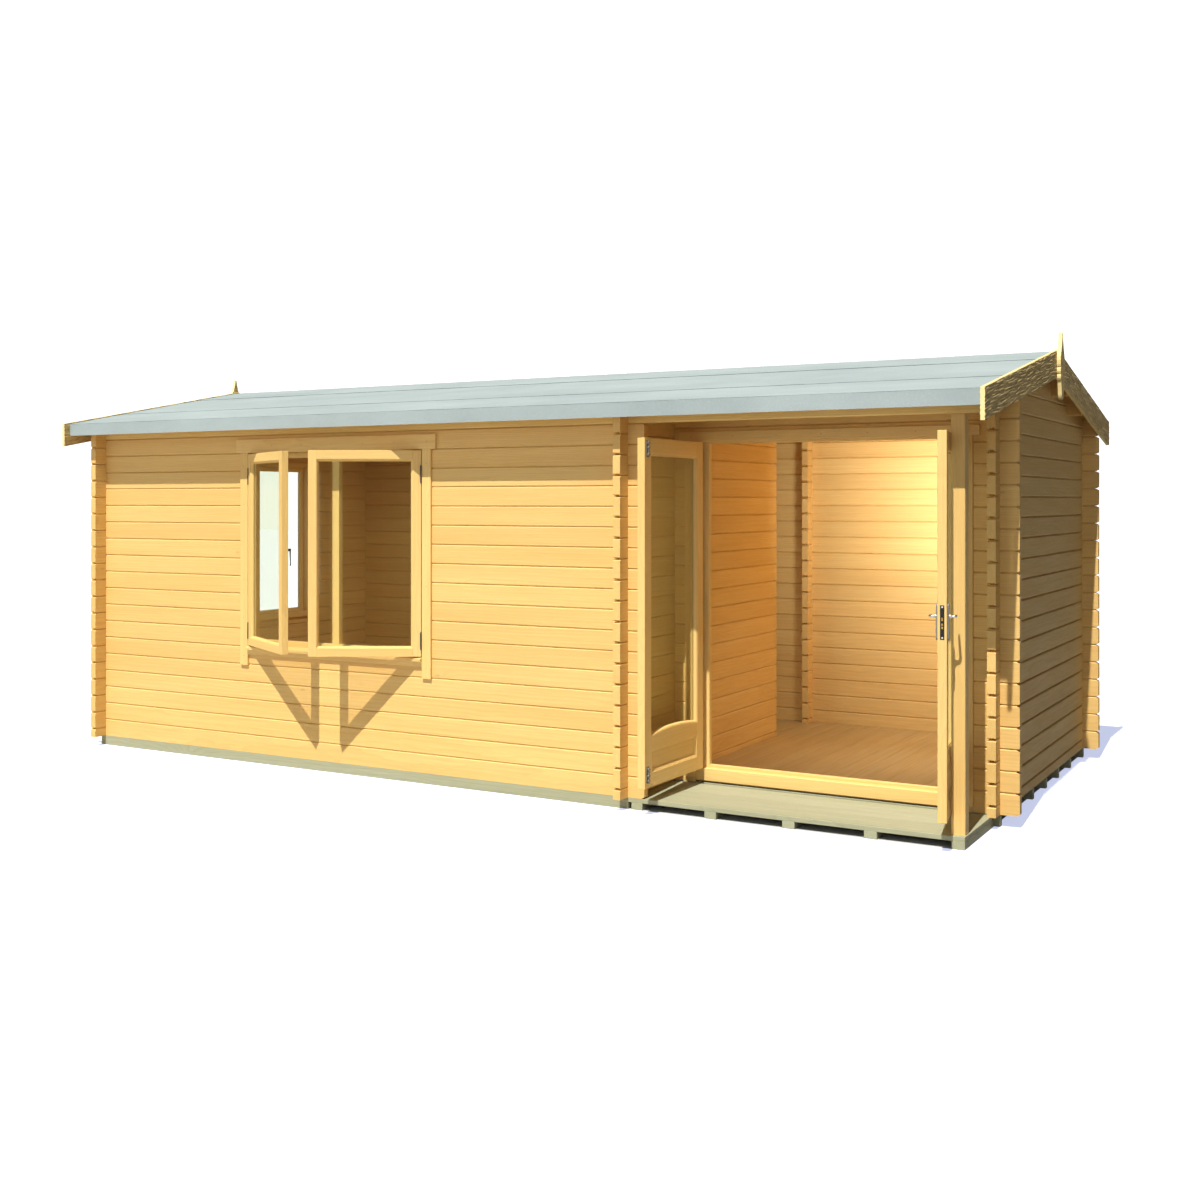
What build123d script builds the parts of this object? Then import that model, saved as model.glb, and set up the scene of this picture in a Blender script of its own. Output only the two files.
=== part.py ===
from build123d import *
import os
from math import cos, sin, radians

os.makedirs("parts", exist_ok=True)

# ---------------------------------------------------------------- driving dimensions (mm)
# Frame: origin on the ground under the centre of the roof, +X to the right seen from the
# front, +Y to the rear, +Z up.  The front wall faces -Y.
LOG_H = 114.0          # height of one log course
LOG_T = 44.0           # log thickness
LOG_END = 98.0         # log ends past the crossing wall
BASE_Z = 63.0          # underside of the bottom log = height of the bearers
XW = 2960.0            # half width over the gable walls
YD = 1520.0            # half depth over the front and rear walls
GROOVE_D = 5.0         # depth of the V joint on the face of the logs
GROOVE_H = 5.5         # half height of that V joint
END_D = 15.0           # chamfer at a log end, along the log
END_H = 11.0           # chamfer at a log end, up the log

PART_X0 = 1075.0       # left face of the partition
PART_X1 = PART_X0 + LOG_T
FRONT_X1 = PART_X1 + LOG_END      # right log ends of the front wall
DOORWAY_Y0, DOORWAY_Y1 = 748.0, 1378.0   # open doorway in the partition
DOORWAY_TOP = BASE_Z + 18.5 * LOG_H

DOOR_WALL_Y = -909.0   # outer face of the wall behind the porch
POST = 68.0            # porch post, square
POST_X1 = 2930.0       # right edge of the deck
POST_IN = 6.0          # the right face of the post stands this far in from it
POST_BACK = 32.0       # the post stands this far behind the front face of the beam

RIDGE_Z = 2542.0       # top of the felt at the ridge
SLOPE = 0.186          # rise over run
DECK_T = 19.33         # roof boards, measured plumb
FELT_T = 3.05          # felt, measured plumb
EAVE_Y = 1717.0        # outer face of the felt drip
FASCIA_T = 20.0
DRIP_T = 3.0
DRIP_Z = 2141.0        # lower edge of fascia and drip
ROOF_X = XW + LOG_END  # roof boards end at the log ends
BARGE_T = 25.0
BARGE_H = 155.5
BARGE_Y = 1765.0
BARGE_UP = 7.0         # bargeboard stands above the felt
FINIAL_T = 22.0
PURLIN_Y = (-940.0, -452.0, 0.0, 452.0, 940.0)
PURLIN_W = 44.0
PURLIN_H = 120.0

WIN_XC = -928.0        # centre of the front window
WIN_CUT = 720.0        # half width of the hole in the logs
WIN_Z0 = BASE_Z + 6 * LOG_H       # 747
WIN_Z1 = BASE_Z + 17 * LOG_H      # 2001
TRIM_IN = 683.0        # half distance between the vertical trims
TRIM_W = 64.0
TRIM_T = 16.0
HEADER_H = 90.0
HEADER_OVER = 34.0
TRIM_Z0 = 628.0
SASH_W = 677.0
SASH_T = 44.0
SASH_Z0, SASH_Z1 = 759.0, 1994.0
SASH_ANGLE = 31.5      # both front sashes stand open by this much

DOOR_XC = 2006.9       # centre of the double door
LEAF_W = 744.0
LEAF_T = 44.0
LEAF_Z0, LEAF_Z1 = 151.0, 2029.0
LEAF_Y = -921.0        # outer face of a closed leaf
LEAF_EDGE = 748.0      # hinge edge of a closed leaf, from the door centre
DOOR_GAP = 5.0
STOP_IN = 684.9        # half clear width of the door frame
STOP_Y0, STOP_Y1 = -872.0, -838.0
DOOR_CUT = 778.9       # half width of the hole in the door wall
DOOR_CUT_Z = 2060.0
PIN_DX, PIN_DY = 2.5, 8.0         # hinge pin from the leaf's outer hinge corner
OPEN_LEFT = 91.0       # rest position of the left leaf
OPEN_RIGHT = 100.2     # rest position of the right leaf

DECK_BOARD = 25.0
FLOOR_T = 28.0

# The open sashes reach further forward than the bargeboards reach back or forward, so the
# middle of the whole outline, where the origin is, lies a little in front of the ridge.
FRONT_REACH = YD + TRIM_T + SASH_W * sin(radians(SASH_ANGLE))
RIDGE_Y = (FRONT_REACH - BARGE_Y) / 2    # the ridge, from the origin


def z_top(y):
    """Top of the felt."""
    return RIDGE_Z - SLOPE * abs(y)


def z_under(y):
    """Underside of the roof boards."""
    return z_top(y) - DECK_T - FELT_T


# ---------------------------------------------------------------- drawing helpers
def prism(plane, pts, amount, mode=Mode.ADD):
    """Extrude one closed outline drawn on a plane."""
    with BuildSketch(plane) as outline:
        with BuildLine():
            Polyline(*pts, close=True)
        make_face()
    extrude(outline.sketch, amount=amount, mode=mode)


def prisms(plane, outlines, amount, mode=Mode.SUBTRACT):
    """Extrude several outlines that share a plane."""
    with BuildSketch(plane) as many:
        for pts in outlines:
            with BuildLine():
                Polyline(*pts, close=True)
            make_face()
    extrude(many.sketch, amount=amount, mode=mode)


def across(base, depth):
    """Upright plane of a wall-like frame: x along the wall, y up, at a depth into the wall."""
    return Plane(
        origin=base.from_local_coords(Vector(0, depth, 0)),
        x_dir=base.x_dir,
        z_dir=-base.y_dir,
    )


def slab(base, pts, d0, d1, mode=Mode.ADD):
    """Elevation outline (along, up) between two depths of a wall-like frame."""
    prism(across(base, d1), pts, d1 - d0, mode)


def box(base, u0, u1, d0, d1, z0, z1, mode=Mode.ADD):
    """Block along u, depth d, height z in a wall-like frame."""
    slab(base, [(u0, z0), (u1, z0), (u1, z1), (u0, z1)], d0, d1, mode)


def profile_run(base, pts, u0, u1, mode=Mode.ADD):
    """Section (depth, up) run along u."""
    plane = Plane(
        origin=base.from_local_coords(Vector(u0, 0, 0)),
        x_dir=base.y_dir,
        z_dir=base.x_dir,
    )
    prism(plane, pts, u1 - u0, mode)


def plan(base, pts, z0, z1, mode=Mode.ADD):
    """Plan outline (along, depth) between two heights."""
    plane = Plane(
        origin=base.from_local_coords(Vector(0, 0, z0)), x_dir=base.x_dir, z_dir=base.z_dir
    )
    prism(plane, pts, z1 - z0, mode)


WORLD = Plane(origin=(0, RIDGE_Y, 0), x_dir=(1, 0, 0), z_dir=(0, 0, 1))
# wall-like frames: x along the wall, y into the building, z up
SIDE = Plane(origin=(0, RIDGE_Y, 0), x_dir=(0, 1, 0), z_dir=(0, 0, 1))   # x = +Y, y = -X
FRONT_WIN = Plane(origin=(WIN_XC, RIDGE_Y - YD, 0), x_dir=(1, 0, 0), z_dir=(0, 0, 1))
GABLE_WIN = Plane(origin=(-XW, RIDGE_Y, 0), x_dir=(0, -1, 0), z_dir=(0, 0, 1))
DOOR = Plane(origin=(DOOR_XC, RIDGE_Y, 0), x_dir=(1, 0, 0), z_dir=(0, 0, 1))


def section(x):
    """Cross section of the cabin at x: drawn as (y from the ridge, z)."""
    return Plane(origin=(x, RIDGE_Y, 0), x_dir=(0, 1, 0), z_dir=(1, 0, 0))


def joints(z0, z1, half=False):
    """Heights of the log joints from z0 to z1, both included."""
    first = BASE_Z + (0.5 * LOG_H if half else 0.0)
    found = []
    k = 0
    while first + k * LOG_H < z1 + 1:
        z = first + k * LOG_H
        if z > z0 - 1:
            found.append(z)
        k += 1
    return found


def outline(u0, u1, z0, z1, zs, end0, end1, top=None):
    """Wall elevation with V notches at the joints on the ends that are log ends.
    top: list of (u, z) from the right end to the left one, for a wall that isn't level."""
    top = top or [(u1, z1), (u0, z1)]
    zr, zl = top[0][1], top[-1][1]
    pts = []
    on = [z for z in zs if abs(z - z0) < 1]
    pts.append((u0 + END_D, z0) if end0 and on else (u0, z0))
    pts.append((u1 - END_D, z0) if end1 and on else (u1, z0))
    if end1:
        if on:
            pts.append((u1, z0 + END_H))
        for z in zs:
            if z0 + 2 < z < zr - END_H - 2:
                pts += [(u1, z - END_H), (u1 - END_D, z), (u1, z + END_H)]
        if any(abs(z - zr) < 1 for z in zs):
            pts += [(u1, zr - END_H), (u1 - END_D, zr)]
            top = [None] + list(top[1:])
    left = []
    if end0:
        if on:
            left.append((u0, z0 + END_H))
        for z in zs:
            if z0 + 2 < z < zl - END_H - 2:
                left += [(u0, z - END_H), (u0 + END_D, z), (u0, z + END_H)]
        if any(abs(z - zl) < 1 for z in zs):
            left += [(u0, zl - END_H), (u0 + END_D, zl)]
            top = list(top[:-1]) + [None]
    pts += [p for p in top if p is not None]
    pts += left[::-1]
    return pts


def grooves(base, u0, u1, d0, d1, zs):
    """V joints on both faces of a log wall."""
    k = (GROOVE_D + 1.0) / GROOVE_D
    cuts = []
    for z in zs:
        h = GROOVE_H * k
        cuts.append([(d0 - 1, z - h), (d0 + GROOVE_D, z), (d0 - 1, z + h)])
        cuts.append([(d1 + 1, z - h), (d1 - GROOVE_D, z), (d1 + 1, z + h)])
    plane = Plane(
        origin=base.from_local_coords(Vector(u0 - 1, 0, 0)), x_dir=base.y_dir, z_dir=base.x_dir
    )
    prisms(plane, cuts, u1 - u0 + 2)


def log_wall(base, u0, u1, d0, d1, z0, z1, half=False, end0=False, end1=False, top=None):
    """A stack of logs: elevation outline, then the V joints."""
    z_max = max([p[1] for p in top]) if top else z1
    zs = joints(z0, z_max, half)
    slab(base, outline(u0, u1, z0, z1, zs, end0, end1, top), d0, d1)
    grooves(base, u0, u1, d0, d1, zs)


def roof_top(y0, y1):
    """Underside of the roof as a list of (y, z) from y1 back to y0."""
    pts = [(y1, z_under(y1))]
    if y0 < 0 < y1:
        pts.append((0, z_under(0)))
    pts.append((y0, z_under(y0)))
    return pts


def cut_roof(mode=Mode.SUBTRACT):
    """Take away everything above the underside of the roof boards."""
    pts = [(-2000, z_under(2000)), (0, z_under(0)), (2000, z_under(2000)), (2000, 3200), (-2000, 3200)]
    prism(section(-3200), pts, 6400, mode)


def purlin_outline(y):
    half = PURLIN_W / 2
    z0 = z_under(y) - PURLIN_H
    pts = [(y - half, z0), (y + half, z0), (y + half, z_under(y + half))]
    if y == 0:
        pts.append((0, z_under(0)))
    pts.append((y - half, z_under(y - half)))
    return pts


def cut_purlins(x0, x1, y0, y1):
    """Notches for the purlins in a wall that stands across them."""
    outlines = []
    for y in PURLIN_Y:
        if y0 - 30 < y < y1 + 30:
            o = purlin_outline(y)
            outlines.append([(p[0], p[1] + (40 if p[1] > z_under(y) - 10 else 0)) for p in o])
    if outlines:
        prisms(section(x0 - 1), outlines, x1 - x0 + 2)


def side_wall(x0, x1, y0, y1, z0, z1, end0=False, end1=False, to_roof=False):
    """Log wall that runs along Y, between two X faces.  Its courses sit half a log off."""
    log_wall(
        SIDE, y0, y1, -x1, -x0, z0, z1, half=True, end0=end0, end1=end1,
        top=roof_top(y0, y1) if to_roof else None,
    )
    if to_roof:
        cut_purlins(x0, x1, y0, y1)


made = []


def finish(piece, name):
    piece.part.label = name
    export_step(piece.part, "parts/" + name + ".step")
    made.append(name)


Y_IN = YD - LOG_T
X_IN = XW - LOG_T
EX = XW + LOG_END
EY = YD + LOG_END

# ================================================================ base
with BuildPart() as ground_bearers:
    box(WORLD, -XW, PART_X1, -YD, -YD + 38, 0, BASE_Z)
    box(WORLD, -XW, PART_X1, -1210, -1172, 0, BASE_Z)
    for y in (-909.0, -490.0, -99.0, 270.0, 642.0, 1033.0, YD - 38):
        box(WORLD, -XW, XW, y, y + 38, 0, BASE_Z)
finish(ground_bearers, "ground_bearers")

with BuildPart() as porch_bearers:
    for xc in (1172.0, 1603.0, 2037.0, 2466.0, 2897.0):
        box(WORLD, xc - 33, xc + 33, -YD, DOOR_WALL_Y, 0, BASE_Z - DECK_BOARD)
finish(porch_bearers, "porch_bearers")

with BuildPart() as porch_deck:
    # the last board stops short of the wall, which leaves an open joint under the door sill
    box(WORLD, PART_X1, POST_X1, -YD, DOOR_WALL_Y - 36, BASE_Z - DECK_BOARD, BASE_Z)
finish(porch_deck, "porch_deck")

with BuildPart() as floor_boards:
    box(WORLD, -X_IN, PART_X0, -Y_IN, Y_IN, BASE_Z, BASE_Z + FLOOR_T)
    xl, xr = DOOR_XC - DOOR_CUT, DOOR_XC + DOOR_CUT
    yw = DOOR_WALL_Y + LOG_T
    plan(
        WORLD,
        [(PART_X1, yw), (xl, yw), (xl, STOP_Y1), (xr, STOP_Y1), (xr, yw), (X_IN, yw),
         (X_IN, Y_IN), (PART_X1, Y_IN)],
        BASE_Z, BASE_Z + FLOOR_T,
    )
finish(floor_boards, "floor_boards")

with BuildPart() as doorway_threshold:
    box(WORLD, PART_X0, PART_X1, DOORWAY_Y0, DOORWAY_Y1, BASE_Z, BASE_Z + FLOOR_T)
finish(doorway_threshold, "doorway_threshold")

# ================================================================ front wall
Z_TOP_LOG = BASE_Z + 18 * LOG_H   # 2115
with BuildPart() as front_wall_lower:
    log_wall(WORLD, -EX, FRONT_X1, -YD, -Y_IN, BASE_Z, WIN_Z0, end0=True, end1=True)
finish(front_wall_lower, "front_wall_lower")

with BuildPart() as front_wall_piers:
    log_wall(WORLD, -EX, WIN_XC - WIN_CUT, -YD, -Y_IN, WIN_Z0, WIN_Z1, end0=True)
    log_wall(WORLD, WIN_XC + WIN_CUT, FRONT_X1, -YD, -Y_IN, WIN_Z0, WIN_Z1, end1=True)
finish(front_wall_piers, "front_wall_piers")

with BuildPart() as front_wall_upper:
    log_wall(WORLD, -EX, FRONT_X1, -YD, -Y_IN, WIN_Z1, Z_TOP_LOG, end0=True, end1=True)
finish(front_wall_upper, "front_wall_upper")

with BuildPart() as porch_beam:
    log_wall(WORLD, -EX, EX, -YD, -Y_IN, Z_TOP_LOG, z_under(Y_IN), end0=True, end1=True)
    cut_roof()
finish(porch_beam, "front_top_log")

# ================================================================ rear wall
with BuildPart() as rear_wall:
    log_wall(WORLD, -EX, EX, Y_IN, YD, BASE_Z, z_under(Y_IN), end0=True, end1=True)
    cut_roof()
finish(rear_wall, "rear_wall")

# ================================================================ left gable
with BuildPart() as left_gable_lower:
    side_wall(-XW, -X_IN, -Y_IN, Y_IN, BASE_Z, WIN_Z0)
finish(left_gable_lower, "left_gable_lower")

with BuildPart() as left_gable_piers:
    side_wall(-XW, -X_IN, -Y_IN, -WIN_CUT, WIN_Z0, WIN_Z1)
    side_wall(-XW, -X_IN, WIN_CUT, Y_IN, WIN_Z0, WIN_Z1)
finish(left_gable_piers, "left_gable_piers")

with BuildPart() as left_gable_upper:
    side_wall(-XW, -X_IN, -Y_IN, Y_IN, WIN_Z1, 0, to_roof=True)
finish(left_gable_upper, "left_gable_upper")

# ================================================================ right gable
Z_PORCH_LOG = BASE_Z + 18.5 * LOG_H   # 2172
with BuildPart() as right_gable_wall:
    side_wall(X_IN, XW, DOOR_WALL_Y + LOG_T, Y_IN, BASE_Z, 0, to_roof=True)
finish(right_gable_wall, "right_gable_wall")

with BuildPart() as porch_side_log:
    side_wall(X_IN, XW, -Y_IN, DOOR_WALL_Y, Z_PORCH_LOG, 0, to_roof=True)
finish(porch_side_log, "porch_side_log")

# ================================================================ crossing log ends of the walls along Y
with BuildPart() as crossing_log_ends:
    for x0 in (-XW, X_IN, PART_X0):
        side_wall(x0, x0 + LOG_T, YD, EY, BASE_Z, 0, end1=True, to_roof=True)
    for x0 in (-XW, PART_X0):
        side_wall(x0, x0 + LOG_T, -EY, -YD, BASE_Z, 0, end0=True, to_roof=True)
    side_wall(X_IN, XW, -EY, -YD, Z_PORCH_LOG, 0, end0=True, to_roof=True)
    side_wall(X_IN, XW, DOOR_WALL_Y - LOG_END, DOOR_WALL_Y, BASE_Z, Z_PORCH_LOG, end0=True)
finish(crossing_log_ends, "crossing_log_ends")

# ================================================================ partition
with BuildPart() as partition_wall:
    side_wall(PART_X0, PART_X1, -Y_IN, DOORWAY_Y0, BASE_Z, 0, to_roof=True)
finish(partition_wall, "partition_wall")

with BuildPart() as partition_return:
    side_wall(PART_X0, PART_X1, DOORWAY_Y1, Y_IN, BASE_Z, DOORWAY_TOP)
finish(partition_return, "partition_return")

with BuildPart() as partition_head:
    side_wall(PART_X0, PART_X1, DOORWAY_Y0, Y_IN, DOORWAY_TOP, 0, to_roof=True)
finish(partition_head, "partition_head")

# ================================================================ wall behind the porch
DW0, DW1 = DOOR_WALL_Y, DOOR_WALL_Y + LOG_T
with BuildPart() as door_wall_sides:
    log_wall(WORLD, PART_X1, DOOR_XC - DOOR_CUT, DW0, DW1, BASE_Z, DOOR_CUT_Z)
    log_wall(WORLD, DOOR_XC + DOOR_CUT, EX, DW0, DW1, BASE_Z, DOOR_CUT_Z, end1=True)
finish(door_wall_sides, "door_wall_sides")

with BuildPart() as door_wall_head:
    log_wall(WORLD, PART_X1, EX, DW0, DW1, DOOR_CUT_Z, z_under(DW1), end1=True)
    cut_roof()
    # seat of the purlin that runs over this wall
    prism(section(0), [(p[0], p[1] + (40 if p[1] > z_under(-940) - 10 else 0))
                               for p in purlin_outline(-940.0)], 3200, Mode.SUBTRACT)
finish(door_wall_head, "door_wall_head")

# ================================================================ porch post
POST_Y0 = -YD + POST_BACK
with BuildPart() as porch_post:
    box(WORLD, POST_X1 - POST_IN - POST, POST_X1 - POST_IN, POST_Y0, POST_Y0 + POST, BASE_Z, Z_TOP_LOG)
    chamfer(porch_post.edges().filter_by(Axis.Z), length=3)
finish(porch_post, "porch_post")

# ================================================================ roof
with BuildPart() as purlins:
    prisms(section(-ROOF_X), [purlin_outline(y) for y in PURLIN_Y], 2 * ROOF_X, Mode.ADD)
finish(purlins, "purlins")


def roof_sheet(sign, up0, up1, y_end):
    """Sloping sheet between two heights above the underside, from the ridge to y_end."""
    a = [(0, z_under(0) + up0), (sign * y_end, z_under(y_end) + up0),
         (sign * y_end, z_under(y_end) + up1), (0, z_under(0) + up1)]
    prism(section(-ROOF_X), a, 2 * ROOF_X)


FASCIA_Y = EAVE_Y - DRIP_T
with BuildPart() as roof_boards_front:
    roof_sheet(-1, 0, DECK_T, FASCIA_Y)
finish(roof_boards_front, "roof_boards_front")
with BuildPart() as roof_boards_rear:
    roof_sheet(1, 0, DECK_T, FASCIA_Y)
finish(roof_boards_rear, "roof_boards_rear")
with BuildPart() as roof_felt_front:
    roof_sheet(-1, DECK_T, DECK_T + FELT_T, EAVE_Y)
finish(roof_felt_front, "roof_felt_front")
with BuildPart() as roof_felt_rear:
    roof_sheet(1, DECK_T, DECK_T + FELT_T, EAVE_Y)
finish(roof_felt_rear, "roof_felt_rear")

with BuildPart() as eave_felt:
    for s in (-1, 1):
        prism(section(-ROOF_X),
              [(s * FASCIA_Y, DRIP_Z), (s * EAVE_Y, DRIP_Z), (s * EAVE_Y, z_under(EAVE_Y) + DECK_T),
               (s * FASCIA_Y, z_under(FASCIA_Y) + DECK_T)], 2 * ROOF_X)
finish(eave_felt, "eave_felt")

with BuildPart() as eave_fascias:
    for s in (-1, 1):
        a, b = FASCIA_Y - FASCIA_T, FASCIA_Y
        prism(section(-ROOF_X),
              [(s * a, DRIP_Z), (s * b, DRIP_Z), (s * b, z_under(b)), (s * a, z_under(a))], 2 * ROOF_X)
finish(eave_fascias, "eave_fascias")


def barge(sign, x0):
    z0, z1 = z_top(0) + BARGE_UP, z_top(BARGE_Y) + BARGE_UP
    prism(section(x0),
          [(0, z0), (0, z0 - BARGE_H), (sign * BARGE_Y, z1 - BARGE_H), (sign * BARGE_Y, z1)], BARGE_T)


with BuildPart() as bargeboards_front:
    barge(-1, ROOF_X)
    barge(-1, -ROOF_X - BARGE_T)
finish(bargeboards_front, "bargeboards_front")
with BuildPart() as bargeboards_rear:
    barge(1, ROOF_X)
    barge(1, -ROOF_X - BARGE_T)
finish(bargeboards_rear, "bargeboards_rear")

# half outline of a finial, from its tip down, as (half width, height)
FINIAL = [(3, 2648), (8, 2640), (11, 2622), (17, 2596), (25, 2570), (37, 2546), (50, 2524), (58, 2506),
          (61, 2486), (60, 2462), (57, 2450), (53, 2448), (53, 2443), (57, 2438), (58, 2424), (55, 2412),
          (51, 2409), (51, 2404), (54, 2398), (54, 2386), (50, 2376), (45, 2372), (40, 2358), (33, 2320),
          (28, 2288), (23, 2275), (12, 2267)]
with BuildPart() as finials:
    pts = [(-w, z) for w, z in FINIAL] + [(w, z) for w, z in FINIAL[::-1]]
    for x0 in (ROOF_X + BARGE_T, -ROOF_X - BARGE_T - FINIAL_T):
        prism(section(x0), pts, FINIAL_T)
finish(finials, "finials")

# ================================================================ windows
# depths are measured from the outer face of the logs, + into the building
FR0, FR1, FR2 = 0.0, 30.0, 68.0    # outer face, face of the rebate, inner face of a window frame
JAMB_IN = 650.0
MULL = 26.5

with BuildPart() as window_jambs:
    for base in (FRONT_WIN, GABLE_WIN):
        for s in (-1, 1):
            plan(base, [(s * WIN_CUT, FR0), (s * TRIM_IN, FR0), (s * TRIM_IN, FR1), (s * JAMB_IN, FR1),
                        (s * JAMB_IN, FR2), (s * WIN_CUT, FR2)], WIN_Z0, WIN_Z1)
        box(base, -MULL, MULL, FR1, FR2, 795, 1965)
finish(window_jambs, "window_jambs")

with BuildPart() as window_rails:
    for base in (FRONT_WIN, GABLE_WIN):
        box(base, -JAMB_IN, JAMB_IN, FR1, FR2, 1965, WIN_Z1)
        profile_run(base, [(FR0, WIN_Z0), (FR2, WIN_Z0), (FR2, 795), (FR1, 795), (FR1, 757), (FR0, 753)],
                    -JAMB_IN, JAMB_IN)
finish(window_rails, "window_heads_and_sills")

with BuildPart() as vertical_trims:
    for base in (FRONT_WIN, GABLE_WIN):
        for s in (-1, 1):
            a, b = sorted((s * TRIM_IN, s * (TRIM_IN + TRIM_W)))
            box(base, a, b, -TRIM_T, 0, TRIM_Z0, WIN_Z1)
    for s in (-1, 1):
        a, b = sorted((s * (LEAF_EDGE + DOOR_GAP), s * (LEAF_EDGE + DOOR_GAP + 65)))
        box(DOOR, a, b, DW0 - 14, DW0, 90, LEAF_Z1 + DOOR_GAP)
    chamfer(vertical_trims.edges(), length=2)
finish(vertical_trims, "vertical_trims")

with BuildPart() as header_trims:
    for base in (FRONT_WIN, GABLE_WIN):
        w = TRIM_IN + TRIM_W + HEADER_OVER
        box(base, -w, w, -TRIM_T, 0, WIN_Z1, WIN_Z1 + HEADER_H)
    w = LEAF_EDGE + DOOR_GAP + 65 + 36
    box(DOOR, -w, w, DW0 - 14, DW0, LEAF_Z1 + DOOR_GAP, 2091)
    chamfer(header_trims.edges(), length=2)
finish(header_trims, "header_trims")

with BuildPart() as sill_boards:
    for base in (FRONT_WIN, GABLE_WIN):
        profile_run(base, [(0, 699), (-TRIM_T, 699), (-TRIM_T, 728), (-34, 730), (-36, 748), (0, 757)],
                    -TRIM_IN, TRIM_IN)
finish(sill_boards, "sill_boards")


def turned(origin, x_dir):
    return Plane(origin=origin, x_dir=x_dir, z_dir=(0, 0, 1))


def sash_frames():
    """(frame, side) of the four sashes: hinge corner, along the sash, thickness side."""
    a = radians(SASH_ANGLE)
    c, s = cos(a), sin(a)
    y = RIDGE_Y - YD - TRIM_T
    h = TRIM_IN - 3
    return [
        (turned((WIN_XC - h, y, 0), (c, -s, 0)), 1),
        (turned((WIN_XC + h, y, 0), (-c, -s, 0)), -1),
        (turned((-XW - TRIM_T, RIDGE_Y + h, 0), (0, -1, 0)), 1),
        (turned((-XW - TRIM_T, RIDGE_Y - h, 0), (0, 1, 0)), -1),
    ]


STILE, RAIL_T, RAIL_B = 62.0, 66.0, 62.0
with BuildPart() as sashes:
    for base, s in sash_frames():
        d0, d1 = sorted((0, s * SASH_T))
        box(base, 0, SASH_W, d0, d1, SASH_Z0, SASH_Z1)
        box(base, STILE, SASH_W - STILE, d0 - 1, d1 + 1, SASH_Z0 + RAIL_B, SASH_Z1 - RAIL_T, Mode.SUBTRACT)
finish(sashes, "window_sashes")

with BuildPart() as panes:
    for base, s in sash_frames():
        d0, d1 = sorted((s * 20, s * 24))
        box(base, STILE, SASH_W - STILE, d0, d1, SASH_Z0 + RAIL_B, SASH_Z1 - RAIL_T)
finish(panes, "window_panes")

# ================================================================ door frame
with BuildPart() as door_jambs:
    for s in (-1, 1):
        plan(DOOR, [(s * DOOR_CUT, DW0), (s * (LEAF_EDGE + DOOR_GAP), DW0), (s * (LEAF_EDGE + DOOR_GAP), STOP_Y0),
                    (s * STOP_IN, STOP_Y0), (s * STOP_IN, STOP_Y1), (s * DOOR_CUT, STOP_Y1)],
             BASE_Z, DOOR_CUT_Z)
finish(door_jambs, "door_jambs")

with BuildPart() as door_head_sill:
    profile_run(DOOR, [(STOP_Y0, 2021), (STOP_Y1, 2021), (STOP_Y1, DOOR_CUT_Z), (STOP_Y0, DOOR_CUT_Z)],
                -STOP_IN, STOP_IN)
    profile_run(DOOR, [(STOP_Y0, BASE_Z), (STOP_Y1, BASE_Z), (STOP_Y1, 163), (STOP_Y0, 163)],
                -STOP_IN, STOP_IN)
finish(door_head_sill, "door_head_and_stop_sill")

with BuildPart() as door_outer_sill:
    w = LEAF_EDGE + DOOR_GAP
    # the outer sill stands clear of the deck
    profile_run(DOOR, [(DW0, 75), (STOP_Y0, 75), (STOP_Y0, 146), (DW0, 144)], -w, w)
    box(DOOR, -w, w, DW0, STOP_Y0, LEAF_Z1 + DOOR_GAP, DOOR_CUT_Z)
finish(door_outer_sill, "door_outer_sill_and_head")


# ================================================================ door leaves
def leaf_plane(side):
    """Frame of a leaf at rest: origin at its outer hinge corner, x along the leaf.
    side -1 = left leaf, +1 = right leaf."""
    ax, ay = DOOR_XC + side * (LEAF_EDGE + PIN_DX), RIDGE_Y + LEAF_Y - PIN_DY
    t = radians(OPEN_RIGHT if side > 0 else -OPEN_LEFT)
    dx, dy = -side * PIN_DX, PIN_DY
    ox = ax + dx * cos(t) - dy * sin(t)
    oy = ay + dx * sin(t) + dy * cos(t)
    return turned((ox, oy, 0), (-side * cos(t), -side * sin(t), 0)), (ax, ay)


L_LEAF, L_PIN = leaf_plane(-1)
R_LEAF, R_PIN = leaf_plane(1)
L_SIDE, R_SIDE = 1, -1             # side of the frame on which the leaf has its thickness

LS = 90.0                          # leaf stiles
GLASS_Z0, GLASS_Z1 = 437.0, 1933.0
GLASS_RISE = 17.0                  # crown of the middle rail
PANEL_Z0, PANEL_Z1 = 234.0, 350.0


def cut_glass(base, d0, d1, mode):
    with BuildSketch(across(base, d1)) as hole:
        with BuildLine():
            Polyline((LS, GLASS_Z0), (LS, GLASS_Z1), (LEAF_W - LS, GLASS_Z1), (LEAF_W - LS, GLASS_Z0))
            ThreePointArc((LEAF_W - LS, GLASS_Z0), (LEAF_W / 2, GLASS_Z0 + GLASS_RISE), (LS, GLASS_Z0))
        make_face()
    extrude(hole.sketch, amount=d1 - d0, mode=mode)


def door_leaf(base, side):
    d0, d1 = sorted((0, side * LEAF_T))
    box(base, 0, LEAF_W, d0, d1, LEAF_Z0, LEAF_Z1)
    cut_glass(base, d0 - 1, d1 + 1, Mode.SUBTRACT)
    # recessed panel with sloping edges on both faces
    for face, away in ((d0, -1), (d1, 1)):
        a, b = sorted((face + away, face - away * 9))
        box(base, LS, LEAF_W - LS, a, b, PANEL_Z0, PANEL_Z1, Mode.SUBTRACT)
        a, b = sorted((face + away, face - away * 14))
        box(base, LS + 14, LEAF_W - LS - 14, a, b, PANEL_Z0 + 14, PANEL_Z1 - 14, Mode.SUBTRACT)


def leaf_glass(base, side):
    d0, d1 = sorted((side * 20, side * 24))
    cut_glass(base, d0, d1, Mode.ADD)


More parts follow.
